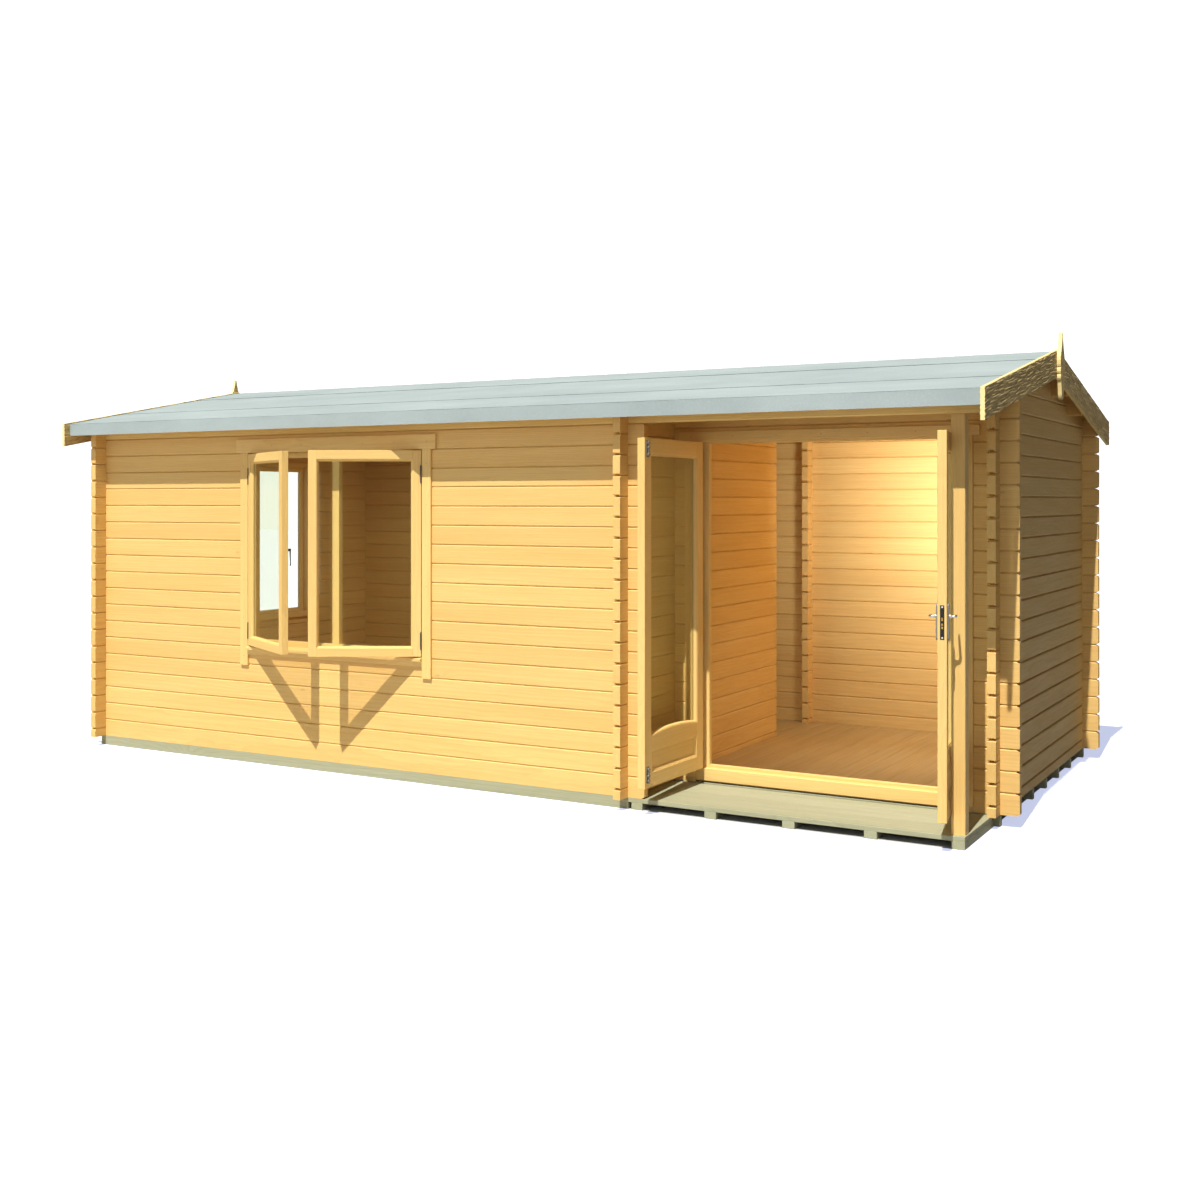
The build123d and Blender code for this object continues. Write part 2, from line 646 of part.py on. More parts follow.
HINGE_Z = ((196, 296), (1030, 1130), (1876, 1976))
PIN_R = 5.5


def knuckle(pin, z0, z1):
    with BuildSketch(Plane.XY.offset(z0)) as k:
        with Locations(pin):
            Circle(PIN_R)
    extrude(k.sketch, amount=z1 - z0)


def leaf_hinges(base, side, pin):
    """Middle knuckle and flap of each hinge, on the edge of the leaf."""
    for z0, z1 in HINGE_Z:
        knuckle(pin, z0 + 34, z1 - 34)
        # the flap runs from the pin into the gap beside the leaf
        a, b = sorted((-side * PIN_DY, side * 30.0))
        box(base, -2.2, 0, a, b, z0 + 34, z1 - 34)


with BuildPart() as left_leaf:
    door_leaf(L_LEAF, L_SIDE)
finish(left_leaf, "left_leaf")
with BuildPart() as left_leaf_glass:
    leaf_glass(L_LEAF, L_SIDE)
finish(left_leaf_glass, "left_leaf_glass")

with BuildPart() as left_leaf_ironmongery:
    leaf_hinges(L_LEAF, L_SIDE, L_PIN)
    # barrel bolts on the inner face, at the top and bottom of the closing stile
    t = L_SIDE * LEAF_T
    for z0, z1 in ((1925, 2015), (178, 268)):
        box(L_LEAF, LEAF_W - 50, LEAF_W - 18, t, t + 3, z0, z1)
        box(L_LEAF, LEAF_W - 41, LEAF_W - 27, t + 3, t + 15, z0 + 6, z1 - 6)
finish(left_leaf_ironmongery, "left_leaf_ironmongery")

LOCK_U = LEAF_W - 36.0             # spindle, from the hinge corner
LOCK_Z = 1137.0
SPINDLE_R = 8.0
with BuildPart() as right_leaf:
    door_leaf(R_LEAF, R_SIDE)
    with BuildSketch(across(R_LEAF, 5)) as bore:
        with Locations((LOCK_U, LOCK_Z)):
            Circle(SPINDLE_R + 0.08)
    extrude(bore.sketch, amount=LEAF_T + 10, mode=Mode.SUBTRACT)
    # mortise for the lock faceplate in the closing edge
    box(R_LEAF, LEAF_W - 3, LEAF_W + 1, -32, -12, 1026, 1192, Mode.SUBTRACT)
finish(right_leaf, "right_leaf")
with BuildPart() as right_leaf_glass:
    leaf_glass(R_LEAF, R_SIDE)
finish(right_leaf_glass, "right_leaf_glass")

with BuildPart() as right_leaf_hinges:
    leaf_hinges(R_LEAF, R_SIDE, R_PIN)
finish(right_leaf_hinges, "right_leaf_hinges")

with BuildPart() as lock_faceplate:
    box(R_LEAF, LEAF_W - 3, LEAF_W, -32, -12, 1026, 1192)
finish(lock_faceplate, "lock_faceplate")

with BuildPart() as lock_backplates:
    for d0, d1 in ((0, 9), (-LEAF_T - 9, -LEAF_T)):
        box(R_LEAF, LOCK_U - 18, LOCK_U + 18, d0, d1, 1020, 1200)
        with BuildSketch(across(R_LEAF, d1 + 1)) as bore:
            with Locations((LOCK_U, LOCK_Z)):
                Circle(SPINDLE_R + 0.08)
        extrude(bore.sketch, amount=d1 - d0 + 2, mode=Mode.SUBTRACT)
finish(lock_backplates, "lock_backplates")

LEVER_OUT = 44.0                   # outer end of the spindle from the face of the leaf
LEVER_L = 80.0
with BuildPart() as lever_handle:
    with BuildSketch(across(R_LEAF, LEVER_OUT)) as spindle:
        with Locations((LOCK_U, LOCK_Z)):
            Circle(SPINDLE_R)
    extrude(spindle.sketch, amount=LEAF_T + 2 * LEVER_OUT)
    for d in (LEVER_OUT - 9, -LEAF_T - LEVER_OUT + 9):
        arm = Plane(
            origin=R_LEAF.from_local_coords(Vector(LOCK_U, d, LOCK_Z)),
            x_dir=R_LEAF.y_dir,
            z_dir=-R_LEAF.x_dir,
        )
        with BuildSketch(arm) as bar:
            Circle(7.2)
        extrude(bar.sketch, amount=LEVER_L)
finish(lever_handle, "lever_handle")

# ================================================================ fixed ironmongery
with BuildPart() as fixed_hinges:
    # door: outer knuckles and flaps on the jambs
    for side, pin in ((-1, L_PIN), (1, R_PIN)):
        for z0, z1 in HINGE_Z:
            for a, b in ((z0, z0 + 33.5), (z1 - 33.5, z1)):
                knuckle(pin, a, b)
                u0, u1 = sorted((side * (LEAF_EDGE + DOOR_GAP - 2.2), side * (LEAF_EDGE + DOOR_GAP)))
                box(DOOR, u0, u1, LEAF_Y - PIN_DY, LEAF_Y + 30, a, b)
finish(fixed_hinges, "frame_hinges")

with BuildPart() as sash_hinges:
    for base in (FRONT_WIN, GABLE_WIN):
        for s in (-1, 1):
            for z0, z1 in ((1796, 1904), (800, 908)):
                pin = base.from_local_coords(Vector(s * (TRIM_IN - 1.5), -TRIM_T - 6.3, z0))
                with BuildSketch(Plane(origin=pin, x_dir=base.x_dir, z_dir=(0, 0, 1))) as k:
                    Circle(6)
                extrude(k.sketch, amount=z1 - z0)
finish(sash_hinges, "sash_hinges")

with BuildPart() as sash_fasteners:
    for base, s in sash_frames():
        if s < 0:
            continue
        f = s * SASH_T
        a, b = sorted((f, f + s * 4))
        box(base, SASH_W - 48, SASH_W - 26, a, b, 1330, 1420)
        a, b = sorted((f + s * 4, f + s * 20))
        box(base, SASH_W - 43, SASH_W - 31, a, b, 1384, 1400)
        a, b = sorted((f + s * 20, f + s * 30))
        box(base, SASH_W - 44, SASH_W - 30, a, b, 1290, 1402)
finish(sash_fasteners, "sash_fasteners")

print(len(made), "nodes", "ridge at y =", RIDGE_Y)
print("left pin", L_PIN, "right pin", R_PIN, "lock", R_LEAF.from_local_coords(Vector(LOCK_U, 0, LOCK_Z)))
print("right leaf x_dir", R_LEAF.x_dir, "y_dir", R_LEAF.y_dir)
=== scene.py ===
import math
import random

import bmesh
import bpy
from mathutils import Matrix, Vector, noise


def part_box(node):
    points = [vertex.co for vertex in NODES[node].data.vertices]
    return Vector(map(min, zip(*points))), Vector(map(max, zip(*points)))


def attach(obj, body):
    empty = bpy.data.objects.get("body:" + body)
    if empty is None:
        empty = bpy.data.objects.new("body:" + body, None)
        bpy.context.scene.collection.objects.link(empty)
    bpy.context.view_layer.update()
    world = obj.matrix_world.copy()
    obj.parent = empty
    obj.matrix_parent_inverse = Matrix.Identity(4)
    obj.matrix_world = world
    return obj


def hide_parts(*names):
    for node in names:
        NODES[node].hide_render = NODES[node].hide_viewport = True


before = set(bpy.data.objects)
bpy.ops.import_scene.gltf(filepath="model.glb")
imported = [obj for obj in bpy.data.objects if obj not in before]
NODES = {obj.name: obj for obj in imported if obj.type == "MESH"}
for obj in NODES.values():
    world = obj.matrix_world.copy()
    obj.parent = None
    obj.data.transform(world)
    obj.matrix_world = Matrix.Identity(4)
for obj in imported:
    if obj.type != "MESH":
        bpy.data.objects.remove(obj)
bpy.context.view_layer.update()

LINK = bpy.context.scene.collection.objects.link
RND = random.Random(11)
MM = 0.001

# ------------------------------------------------------------------ places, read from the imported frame
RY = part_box("roof_felt_front")[1].y                   # the ridge
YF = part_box("front_wall_lower")[0].y                  # outer face of the front wall
YD = RY - YF                                          # half depth over the walls
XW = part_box("right_gable_wall")[1].x                  # half width over the gables
LOG_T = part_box("right_gable_wall")[1].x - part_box("right_gable_wall")[0].x
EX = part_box("front_top_log")[1].x
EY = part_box("crossing_log_ends")[1].y - RY
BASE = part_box("front_wall_lower")[0].z
COURSE = 0.114
PART0, PART1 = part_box("partition_wall")[0].x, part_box("partition_wall")[1].x
FRONT_X1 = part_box("front_wall_lower")[1].x
DW0, DW1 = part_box("door_wall_head")[0].y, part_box("door_wall_head")[1].y
WIN_Z0, WIN_Z1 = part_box("front_wall_piers")[0].z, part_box("front_wall_piers")[1].z
ROOF_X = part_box("roof_boards_front")[1].x
RIDGE_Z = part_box("roof_felt_front")[1].z
EAVE_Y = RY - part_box("roof_felt_front")[0].y
SLOPE = 0.186
DECK_T, FELT_T = 0.01933, 0.00305
WIN_XC, WIN_CUT = -0.928, 0.720
DOOR_XC, DOOR_CUT = 2.0069, 0.7789


def z_top(y):
    return RIDGE_Z - SLOPE * abs(y)


def z_under(y):
    return z_top(y) - DECK_T - FELT_T


# ------------------------------------------------------------------ camera
def make_camera():
    data = bpy.data.cameras.new("main_camera")
    data.lens = 43.40
    data.sensor_width = 36.0
    data.sensor_fit = "HORIZONTAL"
    data.shift_x = 0.0862
    data.shift_y = -0.0844
    data.clip_start = 0.1
    data.clip_end = 200.0
    data.dof.use_dof = False
    cam = bpy.data.objects.new("main_camera", data)
    LINK(cam)
    cam.location = (4.6677, -8.6027, 1.686)
    yaw, pitch = 0.5516, 0.0021
    look = Vector((-math.sin(yaw) * math.cos(pitch), math.cos(yaw) * math.cos(pitch), math.sin(pitch)))
    cam.rotation_mode = "QUATERNION"
    cam.rotation_quaternion = look.to_track_quat("-Z", "Y")
    bpy.context.scene.camera = cam
    return cam


# ------------------------------------------------------------------ node helpers
class Tree:
    """Small helper to build a material's node tree."""

    def __init__(self, name):
        self.mat = bpy.data.materials.new(name)
        self.mat.use_nodes = True
        self.nt = self.mat.node_tree
        self.nt.nodes.clear()
        self.out = self.add("ShaderNodeOutputMaterial")
        self.bsdf = self.add("ShaderNodeBsdfPrincipled")
        self.link(self.bsdf.outputs[0], self.out.inputs["Surface"])

    def add(self, kind, **props):
        node = self.nt.nodes.new(kind)
        for k, v in props.items():
            setattr(node, k, v)
        return node

    def link(self, a, b):
        self.nt.links.new(a, b)

    def put(self, socket, value):
        if isinstance(value, bpy.types.NodeSocket):
            self.link(value, socket)
        else:
            socket.default_value = value

    def math(self, op, a, b=0.0, clamp=False):
        n = self.add("ShaderNodeMath", operation=op, use_clamp=clamp)
        self.put(n.inputs[0], a)
        self.put(n.inputs[1], b)
        return n.outputs[0]

    def noise(self, vector, scale, detail=4.0, rough=0.55, distortion=0.0):
        n = self.add("ShaderNodeTexNoise", noise_dimensions="3D")
        if vector is not None:
            self.link(vector, n.inputs["Vector"])
        n.inputs["Scale"].default_value = scale
        n.inputs["Detail"].default_value = detail
        n.inputs["Roughness"].default_value = rough
        n.inputs["Distortion"].default_value = distortion
        return n.outputs["Fac"]

    def scaled(self, vector, x, y, z):
        n = self.add("ShaderNodeVectorMath", operation="MULTIPLY")
        self.link(vector, n.inputs[0])
        n.inputs[1].default_value = (x, y, z)
        return n.outputs[0]

    def ramp(self, fac, stops, interp="LINEAR"):
        n = self.add("ShaderNodeValToRGB")
        n.color_ramp.interpolation = interp
        e = n.color_ramp.elements
        while len(e) < len(stops):
            e.new(0.5)
        for el, (p, c) in zip(e, stops):
            el.position = p
            el.color = (*c, 1.0) if len(c) == 3 else c
        self.link(fac, n.inputs["Fac"])
        return n.outputs["Color"]

    def mix(self, fac, a, b, blend="MIX"):
        n = self.add("ShaderNodeMix", data_type="RGBA", blend_type=blend)
        self.put(n.inputs[0], fac)
        self.put(n.inputs[6], a if not isinstance(a, tuple) or len(a) == 4 else (*a, 1.0))
        self.put(n.inputs[7], b if not isinstance(b, tuple) or len(b) == 4 else (*b, 1.0))
        return n.outputs[2]

    def remap(self, value, a, b, c, d):
        n = self.add("ShaderNodeMapRange")
        self.link(value, n.inputs["Value"])
        for k, v in zip(("From Min", "From Max", "To Min", "To Max"), (a, b, c, d)):
            n.inputs[k].default_value = v
        return n.outputs["Result"]

    def bump(self, height, distance, strength=1.0):
        n = self.add("ShaderNodeBump")
        self.link(height, n.inputs["Height"])
        n.inputs["Distance"].default_value = distance
        n.inputs["Strength"].default_value = strength
        return n.outputs["Normal"]


def srgb(r, g, b):
    def lin(c):
        c /= 255.0
        return c / 12.92 if c <= 0.04045 else ((c + 0.055) / 1.055) ** 2.4
    return (lin(r), lin(g), lin(b))


def timber(name, light, mid, dark, rough=0.6, figure=0.30, streaks=0.30, fibres=0.22,
           relief=0.0005, knots=0.0, tint=0.10, rings=95.0, sawn=0.0, knot_colour=None):
    """Sawn softwood. The attribute 'board' holds the place inside each board:
    along the grain, across it and through it, in metres, with a start of its own."""
    t = Tree(name)
    co = t.add("ShaderNodeAttribute", attribute_name="board", attribute_type="GEOMETRY").outputs["Vector"]
    s = t.add("ShaderNodeSeparateXYZ")
    t.link(co, s.inputs[0])
    # knots, few and small; the grain bends round them
    v = t.add("ShaderNodeTexVoronoi", voronoi_dimensions="3D", feature="F1")
    t.link(t.scaled(co, 2.1, 6.0, 2.0), v.inputs["Vector"])
    v.inputs["Scale"].default_value = 1.0
    v.inputs["Randomness"].default_value = 1.0
    pick = t.add("ShaderNodeSeparateColor")
    t.link(v.outputs["Color"], pick.inputs[0])
    chosen = t.math("GREATER_THAN", pick.outputs[0], 0.62)
    near = t.math("MULTIPLY", chosen, t.remap(v.outputs["Distance"], 0.0, 0.42, 1.0, 0.0))
    # growth rings: distance from the heart of the tree, wavy along the board
    warp = t.noise(t.scaled(co, 0.9, 4.0, 4.0), 1.0, 3.0, 0.5)
    warp2 = t.noise(t.scaled(co, 3.5, 22.0, 22.0), 1.0, 2.0, 0.5)
    yy = t.math("ADD", s.outputs[1], t.math("MULTIPLY", warp, 0.12))
    zz = t.math("ADD", s.outputs[2], t.math("MULTIPLY", warp, 0.05))
    zz = t.math("ADD", zz, 0.03)
    r = t.math("SQRT", t.math("ADD", t.math("MULTIPLY", yy, yy), t.math("MULTIPLY", zz, zz)))
    r = t.math("ADD", r, t.math("MULTIPLY", warp2, 0.010))
    r = t.math("ADD", r, t.math("MULTIPLY", t.math("MULTIPLY", near, near), 0.030))
    ph = t.math("FRACT", t.math("MULTIPLY", r, rings))
    late = t.math("POWER", ph, 3.0)                     # early wood fades into late wood
    fine = t.math("FRACT", t.math("MULTIPLY", r, rings * 3.1))
    tone = t.noise(t.scaled(co, 0.5, 5.0, 5.0), 1.0, 2.0, 0.5)
    streak = t.noise(t.scaled(co, 1.6, 75.0, 75.0), 1.0, 4.0, 0.62)
    fibre = t.noise(t.scaled(co, 9.0, 520.0, 520.0), 1.0, 2.0, 0.6)
    base = t.ramp(tone, [(0.32, mid), (0.70, light)])
    base = t.mix(t.math("MULTIPLY", late, figure), base, dark)
    base = t.mix(t.math("MULTIPLY", fine, figure * 0.25), base, dark)
    base = t.mix(t.math("MULTIPLY", t.remap(streak, 0.38, 0.78, 0.0, 1.0), streaks), base, dark)
    base = t.mix(t.math("MULTIPLY", t.remap(fibre, 0.45, 0.8, 0.0, 1.0), fibres), base, dark)
    # every board has a tone of its own: 'tone' holds a number from 0 to 1
    own = t.add("ShaderNodeAttribute", attribute_name="tone", attribute_type="GEOMETRY").outputs["Fac"]
    base = t.mix(t.math("MULTIPLY", own, tint), base, tuple(0.62 * m for m in mid))
    if knots:
        core = t.math("MULTIPLY", chosen, t.remap(v.outputs["Distance"], 0.028, 0.060, 1.0, 0.0))
        base = t.mix(t.math("MULTIPLY", core, knots), base, knot_colour or tuple(0.30 * d for d in dark))
    t.link(base, t.bsdf.inputs["Base Color"])
    t.link(t.remap(streak, 0.2, 0.8, rough - 0.07, rough + 0.12), t.bsdf.inputs["Roughness"])
    h = t.math("ADD", t.math("MULTIPLY", fibre, 0.45), t.math("MULTIPLY", late, 0.55))
    if sawn:
        saw = t.noise(t.scaled(co, 14.0, 85.0, 85.0), 1.0, 3.0, 0.65, 0.5)
        h = t.math("ADD", h, t.math("MULTIPLY", saw, sawn))
        # darker streaks that follow the saw marks
        saw_streak_dark = t.remap(saw, 0.42, 0.70, 0.0, 0.55)
        base2 = t.mix(saw_streak_dark, base, tuple(1.0 * d for d in dark))
        t.link(base2, t.bsdf.inputs["Base Color"])
    t.link(t.bump(h, relief, 1.0), t.bsdf.inputs["Normal"])
    t.bsdf.inputs["IOR"].default_value = 1.45
    return t.mat


def felt(name, k=1.0):
    """Mineral felt; k below 1 for the dark bitumen that shows along a lap."""
    t = Tree(name)

    def tone(r, g, b):
        return tuple(k * c for c in srgb(r, g, b))

    co = t.add("ShaderNodeTexCoord").outputs["Object"]
    speck = t.noise(co, 620.0, 2.0, 0.7)
    patch = t.noise(t.scaled(co, 1.0, 1.6, 1.6), 1.3, 4.0, 0.6)
    fine = t.noise(co, 140.0, 3.0, 0.6)
    base = t.ramp(patch, [(0.34, tone(154, 167, 169)), (0.66, tone(168, 181, 183))])
    base = t.mix(t.remap(speck, 0.40, 0.72, 0.0, 0.45), base, tone(118, 131, 133))
    base = t.mix(t.remap(fine, 0.55, 0.8, 0.0, 0.35), base, tone(192, 203, 204))
    t.link(base, t.bsdf.inputs["Base Color"])
    t.bsdf.inputs["Roughness"].default_value = 0.92
    h = t.math("ADD", t.math("MULTIPLY", speck, 0.7), t.math("MULTIPLY", fine, 0.3))
    t.link(t.bump(h, 0.0012, 0.8), t.bsdf.inputs["Normal"])
    return t.mat


def glass(name):
    t = Tree(name)
    co = t.add("ShaderNodeTexCoord").outputs["Object"]
    n = t.noise(co, 1.4, 2.0, 0.5)
    t.link(t.ramp(n, [(0.3, (0.93, 0.975, 0.955)), (0.7, (0.96, 0.985, 0.975))]), t.bsdf.inputs["Base Color"])
    t.bsdf.inputs["Transmission Weight"].default_value = 1.0
    t.bsdf.inputs["IOR"].default_value = 1.45
    t.bsdf.inputs["Roughness"].default_value = 0.0
    t.bsdf.inputs["Specular IOR Level"].default_value = 0.12
    t.link(t.bump(n, 0.0006, 0.25), t.bsdf.inputs["Normal"])
    # sight and daylight go straight through a thin clear pane; only a faint mirror is left
    through = t.add("ShaderNodeBsdfTransparent")
    path = t.add("ShaderNodeLightPath")
    t.link(t.mix(path.outputs["Is Shadow Ray"], (0.93, 0.955, 0.905), (0.845, 0.84, 0.82)), through.inputs[0])
    both = t.add("ShaderNodeMixShader")
    t.link(t.math("MAXIMUM", path.outputs["Is Shadow Ray"], 0.93), both.inputs[0])
    t.link(t.bsdf.outputs[0], both.inputs[1])
    t.link(through.outputs[0], both.inputs[2])
    t.link(both.outputs[0], t.out.inputs["Surface"])
    return t.mat


def metal(name, colour, rough, wear, metallic=1.0, brushed=0.6):
    t = Tree(name)
    co = t.add("ShaderNodeTexCoord").outputs["Object"]
    n = t.noise(co, 46.0, 5.0, 0.65)
    f = t.noise(t.scaled(co, 900.0, 900.0, 30.0), 1.0, 2.0, 0.5)
    base = t.mix(t.remap(n, 0.45, 0.75, 0.0, 1.0), colour, wear)
    t.link(base, t.bsdf.inputs["Base Color"])
    t.bsdf.inputs["Metallic"].default_value = metallic
    t.link(t.remap(n, 0.3, 0.7, rough - 0.05, rough + 0.10), t.bsdf.inputs["Roughness"])
    t.link(t.bump(f, 0.00006, brushed), t.bsdf.inputs["Normal"])
    return t.mat


LOG_L, LOG_M, LOG_D = srgb(239, 203, 129), srgb(232, 191, 116), srgb(188, 135, 69)
JOI_L, JOI_M, JOI_D = srgb(242, 209, 136), srgb(236, 198, 122), srgb(196, 147, 79)
MATS = {
    "log": timber("log_timber", LOG_L, LOG_M, LOG_D, knots=0.20, tint=0.15, figure=0.16, streaks=0.22),
    "joinery": timber("joinery_timber", JOI_L, JOI_M, JOI_D, rough=0.5, figure=0.16, streaks=0.20, tint=0.10, rings=120.0),
    "treated": timber("treated_timber", srgb(176, 177, 150), srgb(166, 167, 137), srgb(120, 122, 92), figure=0.25, knots=0.4),
    "floor": timber("floor_timber", srgb(208, 180, 122), srgb(198, 166, 106), srgb(152, 114, 66), figure=0.25, knots=0.4, tint=0.2),
    "roof": timber("roof_timber", srgb(234, 196, 128), srgb(224, 182, 112), srgb(176, 126, 66), figure=0.25, knots=0.4, tint=0.2),
    "sawn": timber("sawn_timber", srgb(250, 226, 164), srgb(243, 214, 148), srgb(146, 116, 70), rough=0.8,
                   figure=0.28, streaks=0.45, fibres=0.30, relief=0.0030, knots=0.4, sawn=1.4, rings=60.0),
    "edge": timber("planed_edge_timber", srgb(250, 232, 168), srgb(246, 224, 154), srgb(214, 180, 112), figure=0.12, streaks=0.14),
    # painted light: a paler copy of the timber for the fascias and the top log in the eave's shadow, standing in for
    # light bounced up under the eaves
    "fascia": timber("eave_timber_painted_light", srgb(251, 225, 148), srgb(245, 213, 133), srgb(200, 152, 82), figure=0.25, streaks=0.22),
    "felt": felt("mineral_felt", 1.04),
    "bitumen": felt("lap_bitumen", 0.42),
    "glass": glass("clear_glass"),
    "dark": metal("dark_metal", srgb(52, 46, 42), 0.42, srgb(84, 74, 64), brushed=0.3),
    "grey": metal("grey_metal", srgb(128, 126, 116), 0.50, srgb(150, 147, 136), metallic=0.55),
    "aged": metal("aged_metal", srgb(84, 76, 66), 0.46, srgb(112, 104, 92), metallic=0.6, brushed=0.3),
    "black": metal("blackened_metal", srgb(14, 12, 9), 0.62, srgb(24, 21, 17), metallic=0.0, brushed=0.3),
    "satin": metal("satin_metal", srgb(150, 146, 138), 0.55, srgb(170, 166, 158), metallic=0.55, brushed=0.5),
    "nickel": metal("nickel_metal", srgb(244, 238, 222), 0.46, srgb(250, 246, 234), metallic=0.4, brushed=0.4),
    "bright": metal("bright_metal", srgb(206, 207, 209), 0.20, srgb(228, 228, 228), brushed=0.4),
    "brass": metal("brass", srgb(214, 172, 84), 0.26, srgb(232, 200, 120), brushed=0.4),
}


# ------------------------------------------------------------------ mesh helpers
def V(*a):
    return Vector(a)


class Work:
    """A piece under construction: closed parts, each with its own grain frame."""

    def __init__(self):
        self.bm = bmesh.new()
        self.bl = self.bm.loops.layers.float_vector.new("board")
        self.tl = self.bm.loops.layers.float.new("tone")

    def add(self, part, along, across, through, offset=None, tone=None, keep=None):
        """Take in a bmesh part.  The three vectors give the grain frame."""
        offset = offset or V(RND.uniform(0, 40), RND.uniform(-0.10, 0.10), RND.uniform(0.02, 0.16))
        tone = RND.random() if tone is None else tone
        bl = part.loops.layers.float_vector.get("board") or part.loops.layers.float_vector.new("board")
        tl = part.loops.layers.float.get("tone") or part.loops.layers.float.new("tone")
        o = keep or V(0, 0, 0)
        for f in part.faces:
            for lp in f.loops:
                p = lp.vert.co - o
                lp[bl] = V(p.dot(along), p.dot(across), p.dot(through)) + offset
                lp[tl] = tone
        me = bpy.data.meshes.new("part")
        part.to_mesh(me)
        part.free()
        self.bm.from_mesh(me)
        bpy.data.meshes.remove(me)

    def done(self, name, mat, body, slot, replaces=(), smooth=None):
        me = bpy.data.meshes.new(name)
        self.bm.to_mesh(me)
        self.bm.free()
        me.materials.append(MATS[mat])
        if smooth is not None:
            me.shade_smooth()
            me.set_sharp_from_angle(angle=math.radians(smooth))
        o = bpy.data.objects.new(name, me)
        LINK(o)
        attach(o, body)
        if replaces:
            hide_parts(*replaces)
        return o


def loft(loops, cap0=True, cap1=True):
    """Closed part through several loops of as many points each."""
    bm = bmesh.new()
    rings = [[bm.verts.new(p) for p in lp] for lp in loops]
    n = len(rings[0])
    for a, b in zip(rings, rings[1:]):
        for i in range(n):
            j = (i + 1) % n
            bm.faces.new((a[i], a[j], b[j], b[i]))
    if cap0:
        bm.faces.new(rings[0][::-1])
    if cap1:
        bm.faces.new(rings[-1])
    bmesh.ops.recalc_face_normals(bm, faces=bm.faces)
    return bm


def block(M, size, c=0.0015):
    """Board with eased edges in the frame M: x along it, y across it, z through it."""
    L, W, T = size
    c = min(c, 0.3 * L, 0.3 * W, 0.3 * T)

    def loop(x, k):
        d = c if k else 0.45 * c
        a, b = (0, 0) if k else (c, c)
        y0, y1, z0, z1 = a, W - a, b, T - b
        pts = [(y0 + d, z0), (y1 - d, z0), (y1, z0 + d), (y1, z1 - d),
               (y1 - d, z1), (y0 + d, z1), (y0, z1 - d), (y0, z0 + d)]
        return [M @ V(x, y, z) for y, z in pts]

    return loft([loop(0, 0), loop(c, 1), loop(L - c, 1), loop(L, 0)])


def frame_of(origin, along, across):
    a = Vector(along).normalized()
    b = Vector(across).normalized()
    t = a.cross(b)
    m = Matrix((a, b, t)).transposed().to_4x4()
    m.translation = Vector(origin)
    return m


def box_part(lo, hi, axis, c=0.0015):
    """Axis-aligned eased board from corner to corner with its grain along an axis."""
    lo, hi = Vector(lo), Vector(hi)
    s = hi - lo
    if axis == "x":
        return block(frame_of(lo, (1, 0, 0), (0, 1, 0)), (s.x, s.y, s.z), c), (V(1, 0, 0), V(0, 0, 1), V(0, 1, 0))
    if axis == "y":
        m = frame_of((hi.x, lo.y, lo.z), (0, 1, 0), (-1, 0, 0))
        return block(m, (s.y, s.x, s.z), c), (V(0, 1, 0), V(0, 0, 1), V(1, 0, 0))
    m = frame_of(lo, (0, 0, 1), (1, 0, 0))
    return block(m, (s.z, s.x, s.y), c), (V(0, 0, 1), V(1, 0, 0), V(0, 1, 0))


def clip(bm, point, normal):
    """Cut away what lies on the normal's side and close the cut."""
    geom = bm.verts[:] + bm.edges[:] + bm.faces[:]
    out = bmesh.ops.bisect_plane(bm, geom=geom, dist=1e-7, plane_co=point, plane_no=normal, clear_outer=True)
    edges = [e for e in out["geom_cut"] if isinstance(e, bmesh.types.BMEdge) and e.is_valid and e.is_boundary]
    if edges:
        bmesh.ops.triangle_fill(bm, use_beauty=False, use_dissolve=True, edges=edges, normal=normal)
        bmesh.ops.recalc_face_normals(bm, faces=bm.faces)
    return bm


# ------------------------------------------------------------------ logs
GD, GH = 0.005, 0.0055          # V joint on the faces
ED, EH = 0.020, 0.010           # chamfer of a log end: along it, up it
TONGUE = 0.008
HAIR = 0.0011
HOLLOW = 0.055


